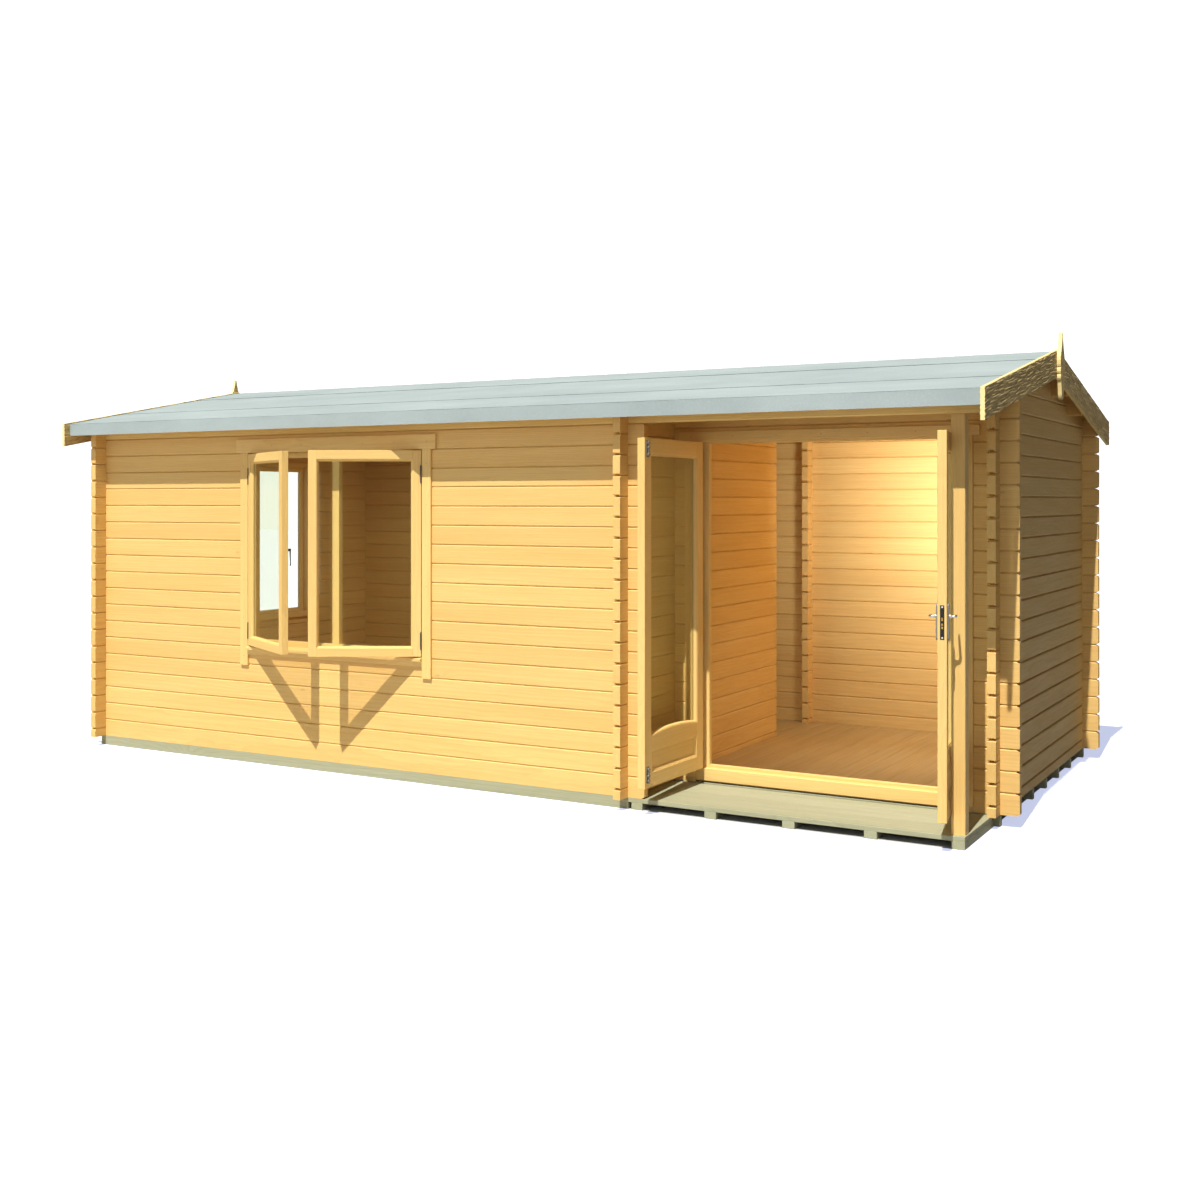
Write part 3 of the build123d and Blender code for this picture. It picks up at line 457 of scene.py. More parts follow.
def log_part(place, u0, u1, d0, z0, z1, end0, end1, low_joint=True, high_joint=True, hair=HAIR):
    """One log: V joints, double tongue and groove, chamfered ends where it crosses a wall."""
    T = LOG_T
    a, b = z0 + (hair if low_joint else 0), z1 - (hair if high_joint else 0)
    pts = []
    if low_joint:
        pts += [(GD, a), (0.0115, a), (0.0130, a + TONGUE), (0.0185, a + TONGUE), (0.0200, a),
                (0.0240, a), (0.0255, a + TONGUE), (0.0310, a + TONGUE), (0.0325, a), (T - GD, a), (T, a + GH)]
    else:
        pts += [(0, a), (T, a)]
    low_n = len(pts)
    pts += [(T, z0 + EH), (T, z1 - EH)]
    if high_joint:
        pts += [(T, b - GH), (T - GD, b), (0.0320, b), (0.0305, b + TONGUE - 0.001), (0.0260, b + TONGUE - 0.001),
                (0.0245, b), (0.0195, b), (0.0180, b + TONGUE - 0.001), (0.0135, b + TONGUE - 0.001), (0.0120, b),
                (GD, b), (0, b - GH)]
    else:
        pts += [(T, b), (0, b)]
    pts += [(0, z1 - EH), (0, z0 + EH)]
    if low_joint:
        pts += [(0, a + GH)]
    n = len(pts)

    def x_end(u, sign, z, on):
        if not on:
            return u
        r = 0.0
        if high_joint and z > z1 + 1e-5:
            r = HOLLOW                    # the tongues stop short of the end: two dark slots
        elif high_joint and z > z1 - EH:
            r = min(ED, ED * (z - (z1 - EH)) / EH)
        elif z < z0 + EH:
            r = ED * ((z0 + EH) - z) / EH
        return u - sign * max(0.0, r)

    bm = bmesh.new()
    A = [bm.verts.new(place(x_end(u0, -1, z, end0), d0 + t, z)) for t, z in pts]
    B = [bm.verts.new(place(x_end(u1, 1, z, end1), d0 + t, z)) for t, z in pts]
    for i in range(n):
        j = (i + 1) % n
        bm.faces.new((A[i], A[j], B[j], B[i]))
    lo_edge = [i for i, (t, z) in enumerate(pts) if z <= z0 + EH + 1e-7]
    hi_edge = [i for i, (t, z) in enumerate(pts) if z >= z1 - EH - 1e-7]
    i_lr = low_n                      # (T, z0+EH)
    i_hr = low_n + 1                  # (T, z1-EH)
    i_ll = n - 1 - (1 if low_joint else 0)
    i_hl = i_ll - 1

    def cap(R, on):
        if not on:
            bm.faces.new(R)
            return
        bm.faces.new([R[i_ll], R[i_lr], R[i_hr], R[i_hl]])
        low = [R[i] for i in range(i_ll, n)] + [R[i] for i in range(0, i_lr + 1)]
        bm.faces.new(low)
        if high_joint:
            bm.faces.new([R[i_hr + i] for i in (0, 1, 2, 3, 6, 7, 10, 11, 12, 13)])
            bm.faces.new([R[i_hr + i] for i in (3, 4, 5, 6)])
            bm.faces.new([R[i_hr + i] for i in (7, 8, 9, 10)])
        else:
            bm.faces.new([R[i] for i in range(i_hr, i_hl + 1)])

    cap(A, end0)
    cap(B, end1)
    bmesh.ops.recalc_face_normals(bm, faces=bm.faces)
    return bm


def wall_place(axis, face, sign):
    """Map (along, depth, height) to the frame. A wall along x has its depth towards +y;
    a wall along y has its depth towards sign*x."""
    if axis == "x":
        return lambda u, d, z: V(u, d, z)
    return lambda u, d, z: V(face + sign * d, RY + u, z)


def logs(work, axis, u0, u1, face, z0, z1, half=False, end0=False, end1=False, roof=False, seed=0, wobble=True, hair=HAIR):
    """Stack of logs of one wall part, between two heights. face: its low coordinate."""
    if axis == "x":
        place = lambda u, d, z: V(u, face + d, z)
        along, through = V(1, 0, 0), V(0, 1, 0)
    else:
        place = lambda u, d, z: V(face + d, RY + u, z)
        along, through = V(0, 1, 0), V(1, 0, 0)
    first = BASE - (0.5 * COURSE if half else 0.0)
    top = max(z_under(0 if u0 < 0 < u1 else min(abs(u0), abs(u1))), z1) if roof and axis == "y" else z1
    k = 0
    while first + k * COURSE < top - 1e-6:
        a, b = first + k * COURSE, first + (k + 1) * COURSE
        k += 1
        if b <= z0 + 1e-6:
            continue
        lo, hi = max(a, z0), min(b, top)
        cut_low, cut_high = a < z0 - 1e-6, b > top + 1e-6
        tone_rnd = random.Random(1000 * seed + k)
        off = V(tone_rnd.uniform(0, 40), tone_rnd.uniform(-0.10, 0.10), tone_rnd.uniform(0.02, 0.16))
        tone = tone_rnd.random()
        j0 = j1 = 0.0
        if wobble:
            j0 = tone_rnd.uniform(-0.0008, 0.0) if end0 else 0.0
            j1 = tone_rnd.uniform(-0.0008, 0.0) if end1 else 0.0
        part = log_part(place, u0 - j0, u1 + j1, 0.0, a, b, end0, end1,
                        low_joint=not (abs(a - BASE) < 1e-6), high_joint=True, hair=hair)
        if cut_low:
            clip(part, place(0, 0, z0), V(0, 0, -1))
        if cut_high and not roof:
            clip(part, place(0, 0, top), V(0, 0, 1))
        if roof:
            n = math.sqrt(1 + SLOPE * SLOPE)
            for sgn in (-1, 1):
                clip(part, V(0, RY, z_under(0) - 0.0005), V(0, sgn * SLOPE / n, 1 / n))
        if not part.faces:
            part.free()
            continue
        work.add(part, along, V(0, 0, 1), through, offset=off, tone=tone, keep=V(0, RY, 0))


def make_walls():
    yi = YD - LOG_T
    xi = XW - LOG_T
    ztl = BASE + 18 * COURSE
    zpl = BASE + 18.5 * COURSE
    door_top = 2.060
    w = Work()
    logs(w, "x", -EX, FRONT_X1, YF, BASE, WIN_Z0, end0=True, end1=True, seed=1)
    w.done("front_wall_lower_logs", "log", "cabin", "log_timber", ["front_wall_lower"])
    w = Work()
    logs(w, "x", -EX, WIN_XC - WIN_CUT, YF, WIN_Z0, WIN_Z1, end0=True, seed=1)
    logs(w, "x", WIN_XC + WIN_CUT, FRONT_X1, YF, WIN_Z0, WIN_Z1, end1=True, seed=1)
    w.done("front_wall_pier_logs", "log", "cabin", "log_timber", ["front_wall_piers"])
    w = Work()
    logs(w, "x", -EX, FRONT_X1, YF, WIN_Z1, ztl, end0=True, end1=True, seed=1)
    w.done("front_wall_upper_logs", "log", "cabin", "log_timber", ["front_wall_upper"])
    w = Work()
    logs(w, "x", -EX, EX, YF, ztl, z_under(yi), end0=True, end1=True, roof=True, seed=1, hair=0.0020)
    # painted light: the top log in the eave's shadow takes the paler eave timber, which stands in for bounced light
    w.done("front_top_log_detail", "fascia", "cabin", "log_timber", ["front_top_log"])
    w = Work()
    logs(w, "x", -EX, EX, RY + yi, BASE, z_under(yi), end0=True, end1=True, roof=True, seed=2)
    w.done("rear_wall_logs", "log", "cabin", "log_timber", ["rear_wall"])
    # left gable, with its window
    w = Work()
    logs(w, "y", -yi, yi, -XW, BASE, WIN_Z0, half=True, seed=3)
    w.done("left_gable_lower_logs", "log", "cabin", "log_timber", ["left_gable_lower"])
    w = Work()
    logs(w, "y", -yi, -WIN_CUT, -XW, WIN_Z0, WIN_Z1, half=True, seed=3)
    logs(w, "y", WIN_CUT, yi, -XW, WIN_Z0, WIN_Z1, half=True, seed=3)
    w.done("left_gable_pier_logs", "log", "cabin", "log_timber", ["left_gable_piers"])
    w = Work()
    logs(w, "y", -yi, yi, -XW, WIN_Z1, 0, half=True, roof=True, seed=3)
    w.done("left_gable_upper_logs", "log", "cabin", "log_timber", ["left_gable_upper"])
    # right gable
    w = Work()
    logs(w, "y", DW1 - RY, yi, xi, BASE, 0, half=True, roof=True, seed=4, hair=0.0030)
    w.done("right_gable_logs", "log", "cabin", "log_timber", ["right_gable_wall"])
    w = Work()
    logs(w, "y", -yi, DW0 - RY, xi, zpl, 0, half=True, roof=True, seed=4, hair=0.0030)
    w.done("porch_side_log_detail", "log", "cabin", "log_timber", ["porch_side_log"])
    # log ends that cross the other walls
    w = Work()
    for x0, sd in ((-XW, 3), (xi, 4), (PART0, 5)):
        logs(w, "y", YD, EY, x0, BASE, 0, half=True, end1=True, roof=True, seed=sd)
    for x0, sd in ((-XW, 3), (PART0, 5)):
        logs(w, "y", -EY, -YD, x0, BASE, 0, half=True, end0=True, roof=True, seed=sd)
    logs(w, "y", -EY, -YD, xi, zpl, 0, half=True, end0=True, roof=True, seed=4)
    logs(w, "y", DW0 - RY - 0.098, DW0 - RY, xi, BASE, zpl, half=True, end0=True, seed=4)
    w.done("crossing_log_end_detail", "log", "cabin", "log_timber", ["crossing_log_ends"])
    # partition
    dy0, dy1, dtop = 0.748, 1.378, BASE + 18.5 * COURSE
    w = Work()
    logs(w, "y", -yi, dy0, PART0, BASE, 0, half=True, end1=True, roof=True, seed=5)
    w.done("partition_logs", "log", "cabin", "log_timber", ["partition_wall"])
    w = Work()
    logs(w, "y", dy1, yi, PART0, BASE, dtop, half=True, end0=True, seed=5)
    w.done("partition_return_logs", "log", "cabin", "log_timber", ["partition_return"])
    w = Work()
    logs(w, "y", dy0, yi, PART0, dtop, 0, half=True, roof=True, seed=5)
    w.done("partition_head_logs", "log", "cabin", "log_timber", ["partition_head"])
    # wall behind the porch
    w = Work()
    logs(w, "x", PART1, DOOR_XC - DOOR_CUT, DW0, BASE, door_top, seed=6)
    logs(w, "x", DOOR_XC + DOOR_CUT, EX, DW0, BASE, door_top, end1=True, seed=6)
    w.done("door_wall_side_logs", "log", "cabin", "log_timber", ["door_wall_sides"])
    w = Work()
    logs(w, "x", PART1, EX, DW0, door_top, z_under(DW1 - RY), end1=True, roof=True, seed=6, hair=0.0020)
    w.done("door_wall_head_logs", "log", "cabin", "log_timber", ["door_wall_head"])


# ------------------------------------------------------------------ boards made from a CAD node's own outline
def reboard(node, name, mat, body="cabin", c=0.0015, seg=1, smooth=None, keep_axis=None, planed=None):
    """New piece on the outline of a CAD node: eased edges, and a grain frame for each board in it."""
    bm = bmesh.new()
    bm.from_mesh(NODES[node].data)
    bmesh.ops.remove_doubles(bm, verts=bm.verts[:], dist=1e-5)
    bmesh.ops.dissolve_limit(bm, angle_limit=math.radians(0.5), verts=bm.verts[:], edges=bm.edges[:])
    if c:
        edges = [e for e in bm.edges if len(e.link_faces) == 2 and e.calc_face_angle(0.0) > math.radians(28)]
        bmesh.ops.bevel(bm, geom=edges, offset=c, offset_type="OFFSET", segments=seg, profile=0.5,
                        affect="EDGES", clamp_overlap=True)
    bm.verts.ensure_lookup_table()
    bm.verts.index_update()
    bl = bm.loops.layers.float_vector.new("board")
    tl = bm.loops.layers.float.new("tone")
    seen = set()
    for v0 in bm.verts:
        if v0.index in seen:
            continue
        stack, island = [v0], []
        seen.add(v0.index)
        while stack:
            v = stack.pop()
            island.append(v)
            for e in v.link_edges:
                o = e.other_vert(v)
                if o.index not in seen:
                    seen.add(o.index)
                    stack.append(o)
        edges = {e for v in island for e in v.link_edges}
        longest = max(edges, key=lambda e: e.calc_length())
        along = (longest.verts[1].co - longest.verts[0].co).normalized()
        if keep_axis:
            along = Vector(keep_axis)
        if abs(along.z) < 0.9:
            across = (V(0, 0, 1) - along * along.z).normalized()
        else:
            flat = [e for e in edges if abs((e.verts[1].co - e.verts[0].co).normalized().z) < 0.3]
            side = max(flat, key=lambda e: e.calc_length())
            d = side.verts[1].co - side.verts[0].co
            across = (d - along * d.dot(along)).normalized()
        through = along.cross(across)
        mid = sum((v.co for v in island), V(0, 0, 0)) / len(island)
        off = V(RND.uniform(0, 40), RND.uniform(-0.08, 0.08), RND.uniform(0.02, 0.12))
        tone = RND.random()
        for f in {f for v in island for f in v.link_faces}:
            for lp in f.loops:
                p = lp.vert.co - mid
                lp[bl] = V(p.dot(along), p.dot(across), p.dot(through)) + off
                lp[tl] = tone
    me = bpy.data.meshes.new(name)
    bm.to_mesh(me)
    bm.free()
    me.materials.append(MATS[mat])
    if smooth is not None:
        me.shade_smooth()
        me.set_sharp_from_angle(angle=math.radians(smooth))
    o = bpy.data.objects.new(name, me)
    LINK(o)
    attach(o, body)
    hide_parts(node)
    if planed:
        # rough on the two broad faces across x, planed on its edges
        me.materials.append(MATS[planed])
        for f in me.polygons:
            if abs(f.normal.x) < 0.92:
                f.material_index = 1
    return o


def placer(origin, along, inward):
    """u along a panel, d into it, z up."""
    O, U, D = Vector(origin), Vector(along), Vector(inward)
    return lambda u, d, z: V(O.x + u * U.x + d * D.x, O.y + u * U.y + d * D.y, z)


def axes_of(P):
    o = P(0, 0, 0)
    return (P(1, 0, 0) - o).normalized(), (P(0, 1, 0) - o).normalized(), V(0, 0, 1)


def lump(work, P, u, d, z, axis, c=0.0016, tone=None, offset=None):
    """Eased block between two u, two d and two z, with its grain along u or z."""
    U, D, Z = axes_of(P)
    u0, u1 = sorted(u)
    d0, d1 = sorted(d)
    z0, z1 = sorted(z)
    if axis == "u":
        L, A, B, q = (u0, u1), (z0, z1), (d0, d1), (lambda l, a, b: P(l, b, a))
        fr = (U, Z, D)
    elif axis == "z":
        L, A, B, q = (z0, z1), (u0, u1), (d0, d1), (lambda l, a, b: P(a, b, l))
        fr = (Z, U, D)
    else:
        L, A, B, q = (d0, d1), (u0, u1), (z0, z1), (lambda l, a, b: P(a, l, b))
        fr = (D, U, Z)
    c = min(c, 0.3 * (L[1] - L[0]), 0.3 * (A[1] - A[0]), 0.3 * (B[1] - B[0]))

    def loop(l, inset):
        e = c if not inset else 0.45 * c
        i = c if inset else 0.0
        a0, a1, b0, b1 = A[0] + i, A[1] - i, B[0] + i, B[1] - i
        return [q(l, a, b) for a, b in ((a0 + e, b0), (a1 - e, b0), (a1, b0 + e), (a1, b1 - e),
                                        (a1 - e, b1), (a0 + e, b1), (a0, b1 - e), (a0, b0 + e))]

    part = loft([loop(L[0], True), loop(L[0] + c, False), loop(L[1] - c, False), loop(L[1], True)])
    work.add(part, *fr, offset=offset, tone=tone, keep=P(0, 0, 0))


def inset_outline(pts, s):
    """Closed counter-clockwise outline moved inwards by s, mitred."""
    out = []
    n = len(pts)
    for i in range(n):
        p, a, b = Vector(pts[i]), Vector(pts[i - 1]), Vector(pts[(i + 1) % n])
        e0, e1 = (p - a).normalized(), (b - p).normalized()
        n0, n1 = Vector((-e0.y, e0.x)), Vector((-e1.y, e1.x))
        out.append(p + (n0 + n1) * (s / (1.0 + n0.dot(n1))))
    return out


def ring(work, P, pts, runs, profile, tone=None):
    """Moulding round a closed outline: profile is a closed list of (inset, d); runs are the strips,
    each a list of corners it passes, mitred at its ends."""
    levels = [inset_outline(pts, s) for s, _ in profile]
    U, D, Z = axes_of(P)
    for r in runs:
        loops = []
        for i in r:
            loops.append([P(levels[k][i].x, profile[k][1], levels[k][i].y) for k in range(len(profile))])
        a, b = Vector(pts[r[0]]), Vector(pts[r[-1]])
        e = (b - a).normalized()
        along = (U * e.x + Z * e.y).normalized()
        work.add(loft(loops), along, along.cross(D), D, tone=tone, keep=P(0, 0, 0))


def rect(u0, u1, z0, z1):
    return [(u0, z0), (u1, z0), (u1, z1), (u0, z1)]


RECT_RUNS = [[0, 1], [1, 2], [2, 3], [3, 0]]


def plate(work, P, pts, d0, d1, c=0.0, axis="u"):
    """Flat plate on an outline, its edges eased by c."""
    U, D, Z = axes_of(P)
    if c:
        i = inset_outline(pts, c)
        s = 1 if d1 > d0 else -1
        loops = [[P(p.x, d0, p.y) for p in i], [P(p[0], d0 + s * c, p[1]) for p in pts],
                 [P(p[0], d1 - s * c, p[1]) for p in pts], [P(p.x, d1, p.y) for p in i]]
    else:
        loops = [[P(p[0], d0, p[1]) for p in pts], [P(p[0], d1, p[1]) for p in pts]]
    fr = (U, Z, D) if axis == "u" else (Z, U, D)
    work.add(loft(loops), *fr, keep=P(0, 0, 0))


def turned_part(centre, axis, radii, n=20):
    """Round part: radii is a list of (distance along the axis, radius)."""
    a = Vector(axis).normalized()
    b = a.orthogonal().normalized()
    c = a.cross(b)
    loops = []
    for t, r in radii:
        loops.append([Vector(centre) + a * t + (b * math.cos(2 * math.pi * i / n) + c * math.sin(2 * math.pi * i / n)) * r
                      for i in range(n)])
    return loft(loops)


def round_on(work, centre, axis, radii, n=20):
    work.add(turned_part(centre, axis, radii, n), V(0, 0, 1), V(1, 0, 0), V(0, 1, 0), tone=0.3)


def screw(work, centre, out, r=0.0035):
    """Domed screw head with a cross recess suggested by its step."""
    h = r * 0.35
    round_on(work, centre, out, [(-0.0003, r), (0.15 * h, r), (0.6 * h, 0.86 * r), (0.95 * h, 0.5 * r),
                                 (0.95 * h, 0.34 * r), (0.45 * h, 0.30 * r)], n=14)


# ------------------------------------------------------------------ windows
def sash_places():
    a = math.radians(31.5)
    c, s = math.cos(a), math.sin(a)
    h = 0.680
    return [
        placer((WIN_XC - h, YF - 0.016, 0), (c, -s, 0), (s, c, 0)),
        placer((WIN_XC + h, YF - 0.016, 0), (-c, -s, 0), (-s, c, 0)),
        placer((-XW - 0.016, RY + h, 0), (0, -1, 0), (1, 0, 0)),
        placer((-XW - 0.016, RY - h, 0), (0, 1, 0), (1, 0, 0)),
    ]


SASH_W, SASH_T, SZ0, SZ1 = 0.677, 0.044, 0.759, 1.994
ST, RT, RB = 0.062, 0.066, 0.062
BEAD = 0.012


def make_sashes():
    w = Work()
    gl = Work()
    for P in sash_places():
        b = BEAD
        lump(w, P, (0, ST - b), (0, SASH_T), (SZ0, SZ1), "z")
        lump(w, P, (SASH_W - ST + b, SASH_W), (0, SASH_T), (SZ0, SZ1), "z")
        lump(w, P, (ST - b, SASH_W - ST + b), (0, SASH_T), (SZ1 - RT + b, SZ1), "u")
        lump(w, P, (ST - b, SASH_W - ST + b), (0, SASH_T), (SZ0, SZ0 + RB - b), "u")
        o = rect(ST - b, SASH_W - ST + b, SZ0 + RB - b, SZ1 - RT + b)
        ring(w, P, o, RECT_RUNS, [(0, 0.0035), (0.003, 0.0035), (0.0045, 0.006), (b - 0.001, 0.0165), (b, 0.0185),
                                  (b, 0.0200), (0, 0.0200)])
        ring(w, P, o, RECT_RUNS, [(0, 0.0405), (0.006, 0.0405), (0.0095, 0.0385), (b, 0.0345), (b, 0.0240), (0, 0.0240)])
        plate(gl, P, rect(ST - 0.007, SASH_W - ST + 0.007, SZ0 + RB - 0.007, SZ1 - RT + 0.007), 0.0202, 0.0238)
    w.done("sash_frames_detail", "joinery", "cabin", "joinery_timber", ["window_sashes"])
    gl.done("sash_panes_detail", "glass", "cabin", "clear_glass", ["window_panes"])


# ------------------------------------------------------------------ door leaves
LEAF_W, LEAF_T, LZ0, LZ1 = 0.744, 0.044, 0.151, 2.029
LS, GZ0, GZ1, RISE = 0.090, 0.437, 1.933, 0.017
PZ0, PZ1 = 0.234, 0.350
OPEN_L, OPEN_R = 91.0, 100.2


def leaf_place(side):
    ax, ay = DOOR_XC + side * 0.7505, RY - 0.921 - 0.008
    t = math.radians(OPEN_R if side > 0 else -OPEN_L)
    dx, dy = -side * 0.0025, 0.008
    ox = ax + dx * math.cos(t) - dy * math.sin(t)
    oy = ay + dx * math.sin(t) + dy * math.cos(t)
    X = V(-side * math.cos(t), -side * math.sin(t), 0)
    Y = V(-X.y, X.x, 0)
    D = Y if side < 0 else -Y
    return placer((ox, oy, 0), X, D), V(ax, ay, 0)


def glass_outline(m, n=18):
    """Counter-clockwise outline of the glass, its lower edge an arch, moved outwards by m."""
    u0, u1 = LS - m, LEAF_W - LS + m
    half = (LEAF_W - 2 * LS) / 2
    R = (half * half + RISE * RISE) / (2 * RISE)
    zc = GZ0 + RISE - R
    uc = LEAF_W / 2
    arch = []
    for i in range(n + 1):
        u = u0 + (u1 - u0) * i / n
        arch.append((u, zc + math.sqrt(max(0.0, (R - m) ** 2 - (u - uc) ** 2))))
    pts = arch + [(u1, GZ1 + m), (u0, GZ1 + m)]
    return pts, [list(range(0, n + 1)), [n, n + 1], [n + 1, n + 2], [n + 2, 0]]


def make_leaf(side, name, glass_name, body, node, glass_node):
    P, pin = leaf_place(side)
    w, gl = Work(), Work()
    b = 0.010
    s0, s1 = LS - b, LEAF_W - LS + b
    lump(w, P, (0, s0), (0, LEAF_T), (LZ0, LZ1), "z", c=0.002)
    lump(w, P, (s1, LEAF_W), (0, LEAF_T), (LZ0, LZ1), "z", c=0.002)
    lump(w, P, (s0, s1), (0, LEAF_T), (GZ1 + b, LZ1), "u", c=0.002)
    lump(w, P, (s0, s1), (0, LEAF_T), (LZ0, PZ0 - 0.004), "u", c=0.002)
    # middle rail with its arched upper edge
    pts, runs = glass_outline(b)
    arch = [pts[i] for i in runs[0]]
    low = PZ1 + 0.004
    outline = [(s0, low), (s1, low)] + [p for p in arch[::-1]]
    outline[2] = (s1, outline[2][1])
    outline[-1] = (s0, outline[-1][1])
    plate(w, P, outline, 0, LEAF_T, c=0.0016)
    # strips each side of the panel, where the stile runs to the moulding
    for a0, a1 in ((s0, LS - 0.004), (LEAF_W - LS + 0.004, s1)):
        lump(w, P, (a0, a1), (0, LEAF_T), (PZ0 - 0.004, low), "z", c=0.0004)
    # glazing beads, outside and inside
    for prof in ([(0, 0.003), (0.004, 0.003), (0.0055, 0.0055), (b - 0.001, 0.0165), (b, 0.0185), (b, 0.0200), (0, 0.0200)],
                 [(0, 0.041), (0.004, 0.041), (0.0055, 0.0385), (b - 0.001, 0.0275), (b, 0.0255), (b, 0.0240), (0, 0.0240)]):
        ring(w, P, pts, runs, prof)
    gp, _ = glass_outline(0.008)
    plate(gl, P, gp, 0.0202, 0.0238)
    # lower panel: board, and a moulding round it on both faces
    lump(w, P, (LS - 0.004, LEAF_W - LS + 0.004), (0.0145, 0.0295), (PZ0 - 0.004, PZ1 + 0.004), "u", c=0.001)
    o = rect(LS - 0.004, LEAF_W - LS + 0.004, PZ0 - 0.004, PZ1 + 0.004)
    for prof in ([(0, 0.0025), (0.004, 0.0025), (0.006, 0.0045), (0.012, 0.0065), (0.016, 0.0100), (0.018, 0.0145), (0, 0.0145)],
                 [(0, 0.0415), (0.004, 0.0415), (0.006, 0.0395), (0.012, 0.0375), (0.016, 0.0340), (0.018, 0.0295), (0, 0.0295)]):
        ring(w, P, o, RECT_RUNS, prof)
    w.done(name, "joinery", body, "joinery_timber", [node])
    gl.done(glass_name, "glass", body, "clear_glass", [glass_node])
    return P, pin


# ------------------------------------------------------------------ ironmongery
HINGE_Z = ((0.196, 0.296), (1.030, 1.130), (1.876, 1.976))


def make_hinges(PL, pinL, PR, pinR):
    def knuckle(w, pin, z0, z1, ball=0):
        c = V(pin.x, pin.y, 0)
        r = 0.0055
        radii = [(z0, r - 0.0006), (z0 + 0.0006, r), (z1 - 0.0006, r), (z1, r - 0.0006)]
        if ball < 0:
            radii = [(z0 - 0.0075, 0.0012), (z0 - 0.0068, 0.0032), (z0 - 0.0045, 0.0046), (z0 - 0.002, 0.0038), (z0 - 0.0004, 0.003)] + radii
        if ball > 0:
            radii = radii + [(z1 + 0.0004, 0.003), (z1 + 0.002, 0.0038), (z1 + 0.0045, 0.0046), (z1 + 0.0068, 0.0032), (z1 + 0.0075, 0.0012)]
        round_on(w, c, (0, 0, 1), radii)

    fixed = Work()
    DOORP = placer((DOOR_XC, RY, 0), (1, 0, 0), (0, 1, 0))
    for side, pin in ((-1, pinL), (1, pinR)):
        for z0, z1 in HINGE_Z:
            for a, b, ball in ((z0, z0 + 0.0335, -1), (z1 - 0.0335, z1, 1)):
                knuckle(fixed, pin, a, b, ball)
                lump(fixed, DOORP, (side * 0.7508, side * 0.753), (-0.929, -0.891), (a, b), "z", c=0.0004)
                for k in (0.25, 0.75):
                    screw(fixed, V(DOOR_XC + side * 0.7508, RY - 0.903, a + (b - a) * k), (-side, 0, 0), 0.0032)
    fixed.done("frame_hinges_detail", "dark", "cabin", "dark_metal", ["frame_hinges"], smooth=40)

    def leaf_set(w, P, pin):
        for z0, z1 in HINGE_Z:
            knuckle(w, pin, z0 + 0.034, z1 - 0.034)
            lump(w, P, (-0.0022, 0), (-0.008, 0.030), (z0 + 0.034, z1 - 0.034), "z", c=0.0004)
            U, D, Z = axes_of(P)
            for zz in (z0 + 0.042, z1 - 0.042):
                screw(w, P(-0.0022, 0.018, zz), -U, 0.0032)

    right = Work()
    leaf_set(right, PR, pinR)
    right.done("right_leaf_hinges_detail", "dark", "right_door", "dark_metal", ["right_leaf_hinges"], smooth=40)

    # left leaf: hinge halves and two barrel bolts on its closing stile
    left = Work()
    leaf_set(left, PL, pinL)
    U, D, Z = axes_of(PL)
    t = LEAF_T
    for z0, z1, way in ((1.925, 2.015, 1), (0.178, 0.268, -1)):
        uc = LEAF_W - 0.034
        plate(left, PL, rect(uc - 0.016, uc + 0.016, z0, z1), t, t + 0.0025, c=0.0006)
        # straps that hold the rod
        for zz in (z0 + 0.008, z1 - 0.020, (z0 + z1) / 2 + way * 0.006 - 0.006):
            lump(left, PL, (uc - 0.0105, uc + 0.0105), (t + 0.0025, t + 0.0125), (zz, zz + 0.012), "u", c=0.0022)
        lo, hi = (z0 + 0.018, z1 - 0.001) if way > 0 else (z0 + 0.001, z1 - 0.018)
        c0 = PL(uc, t + 0.0072, 0)
        round_on(left, c0, (0, 0, 1), [(lo, 0.0032), (lo + 0.001, 0.0045), (hi - 0.001, 0.0045), (hi, 0.0032)])
        kz = (z0 + z1) / 2 - way * 0.016
        round_on(left, PL(uc, t + 0.0072, kz), D, [(0, 0.0032), (0.0045, 0.0030), (0.0052, 0.0042), (0.0065, 0.0046), (0.0076, 0.0034)])
        for zz in (z0 + 0.005, z1 - 0.005):
            for du in (-0.012, 0.012):
                screw(left, PL(uc + du, t + 0.0025, zz), D, 0.0026)
    left.done("left_leaf_ironmongery_detail", "grey", "left_door", "grey_metal", ["left_leaf_ironmongery"], smooth=40)

    # sash hinges: a long pin with ball ends and three knuckles
    w = Work()
    spots = []
    for cx, cy, ox, oy in ((WIN_XC, YF, 1, 0), (-XW, RY, 0, 1)):
        for s in (-1, 1):
            if ox:
                c = V(cx + s * (0.6815 if s > 0 else 0.6740), cy - 0.016 - 0.0063, 0)
            else:
                c = V(cx - 0.016 - 0.0063, cy + s * 0.6815, 0)
            for z0, z1 in ((1.796, 1.904), (0.800, 0.908)):
                spots.append((c, z0, z1))
    for c, z0, z1 in spots:
        r = 0.0048
        rad = [(z0, 0.0012), (z0 + 0.0014, 0.0038), (z0 + 0.004, 0.0050), (z0 + 0.0065, 0.0036)]
        third = (z1 - z0 - 0.016) / 3
        for k in range(3):
            a, b = z0 + 0.008 + k * third, z0 + 0.008 + (k + 1) * third
            rad += [(a, r - 0.0007), (a + 0.0006, r), (b - 0.0006, r), (b, r - 0.0007)]
        rad += [(z1 - 0.0065, 0.0036), (z1 - 0.004, 0.0050), (z1 - 0.0014, 0.0038), (z1, 0.0012)]
        round_on(w, c, (0, 0, 1), rad)
    w.done("sash_hinges_detail", "aged", "cabin", "dark_metal", ["sash_hinges"], smooth=40)

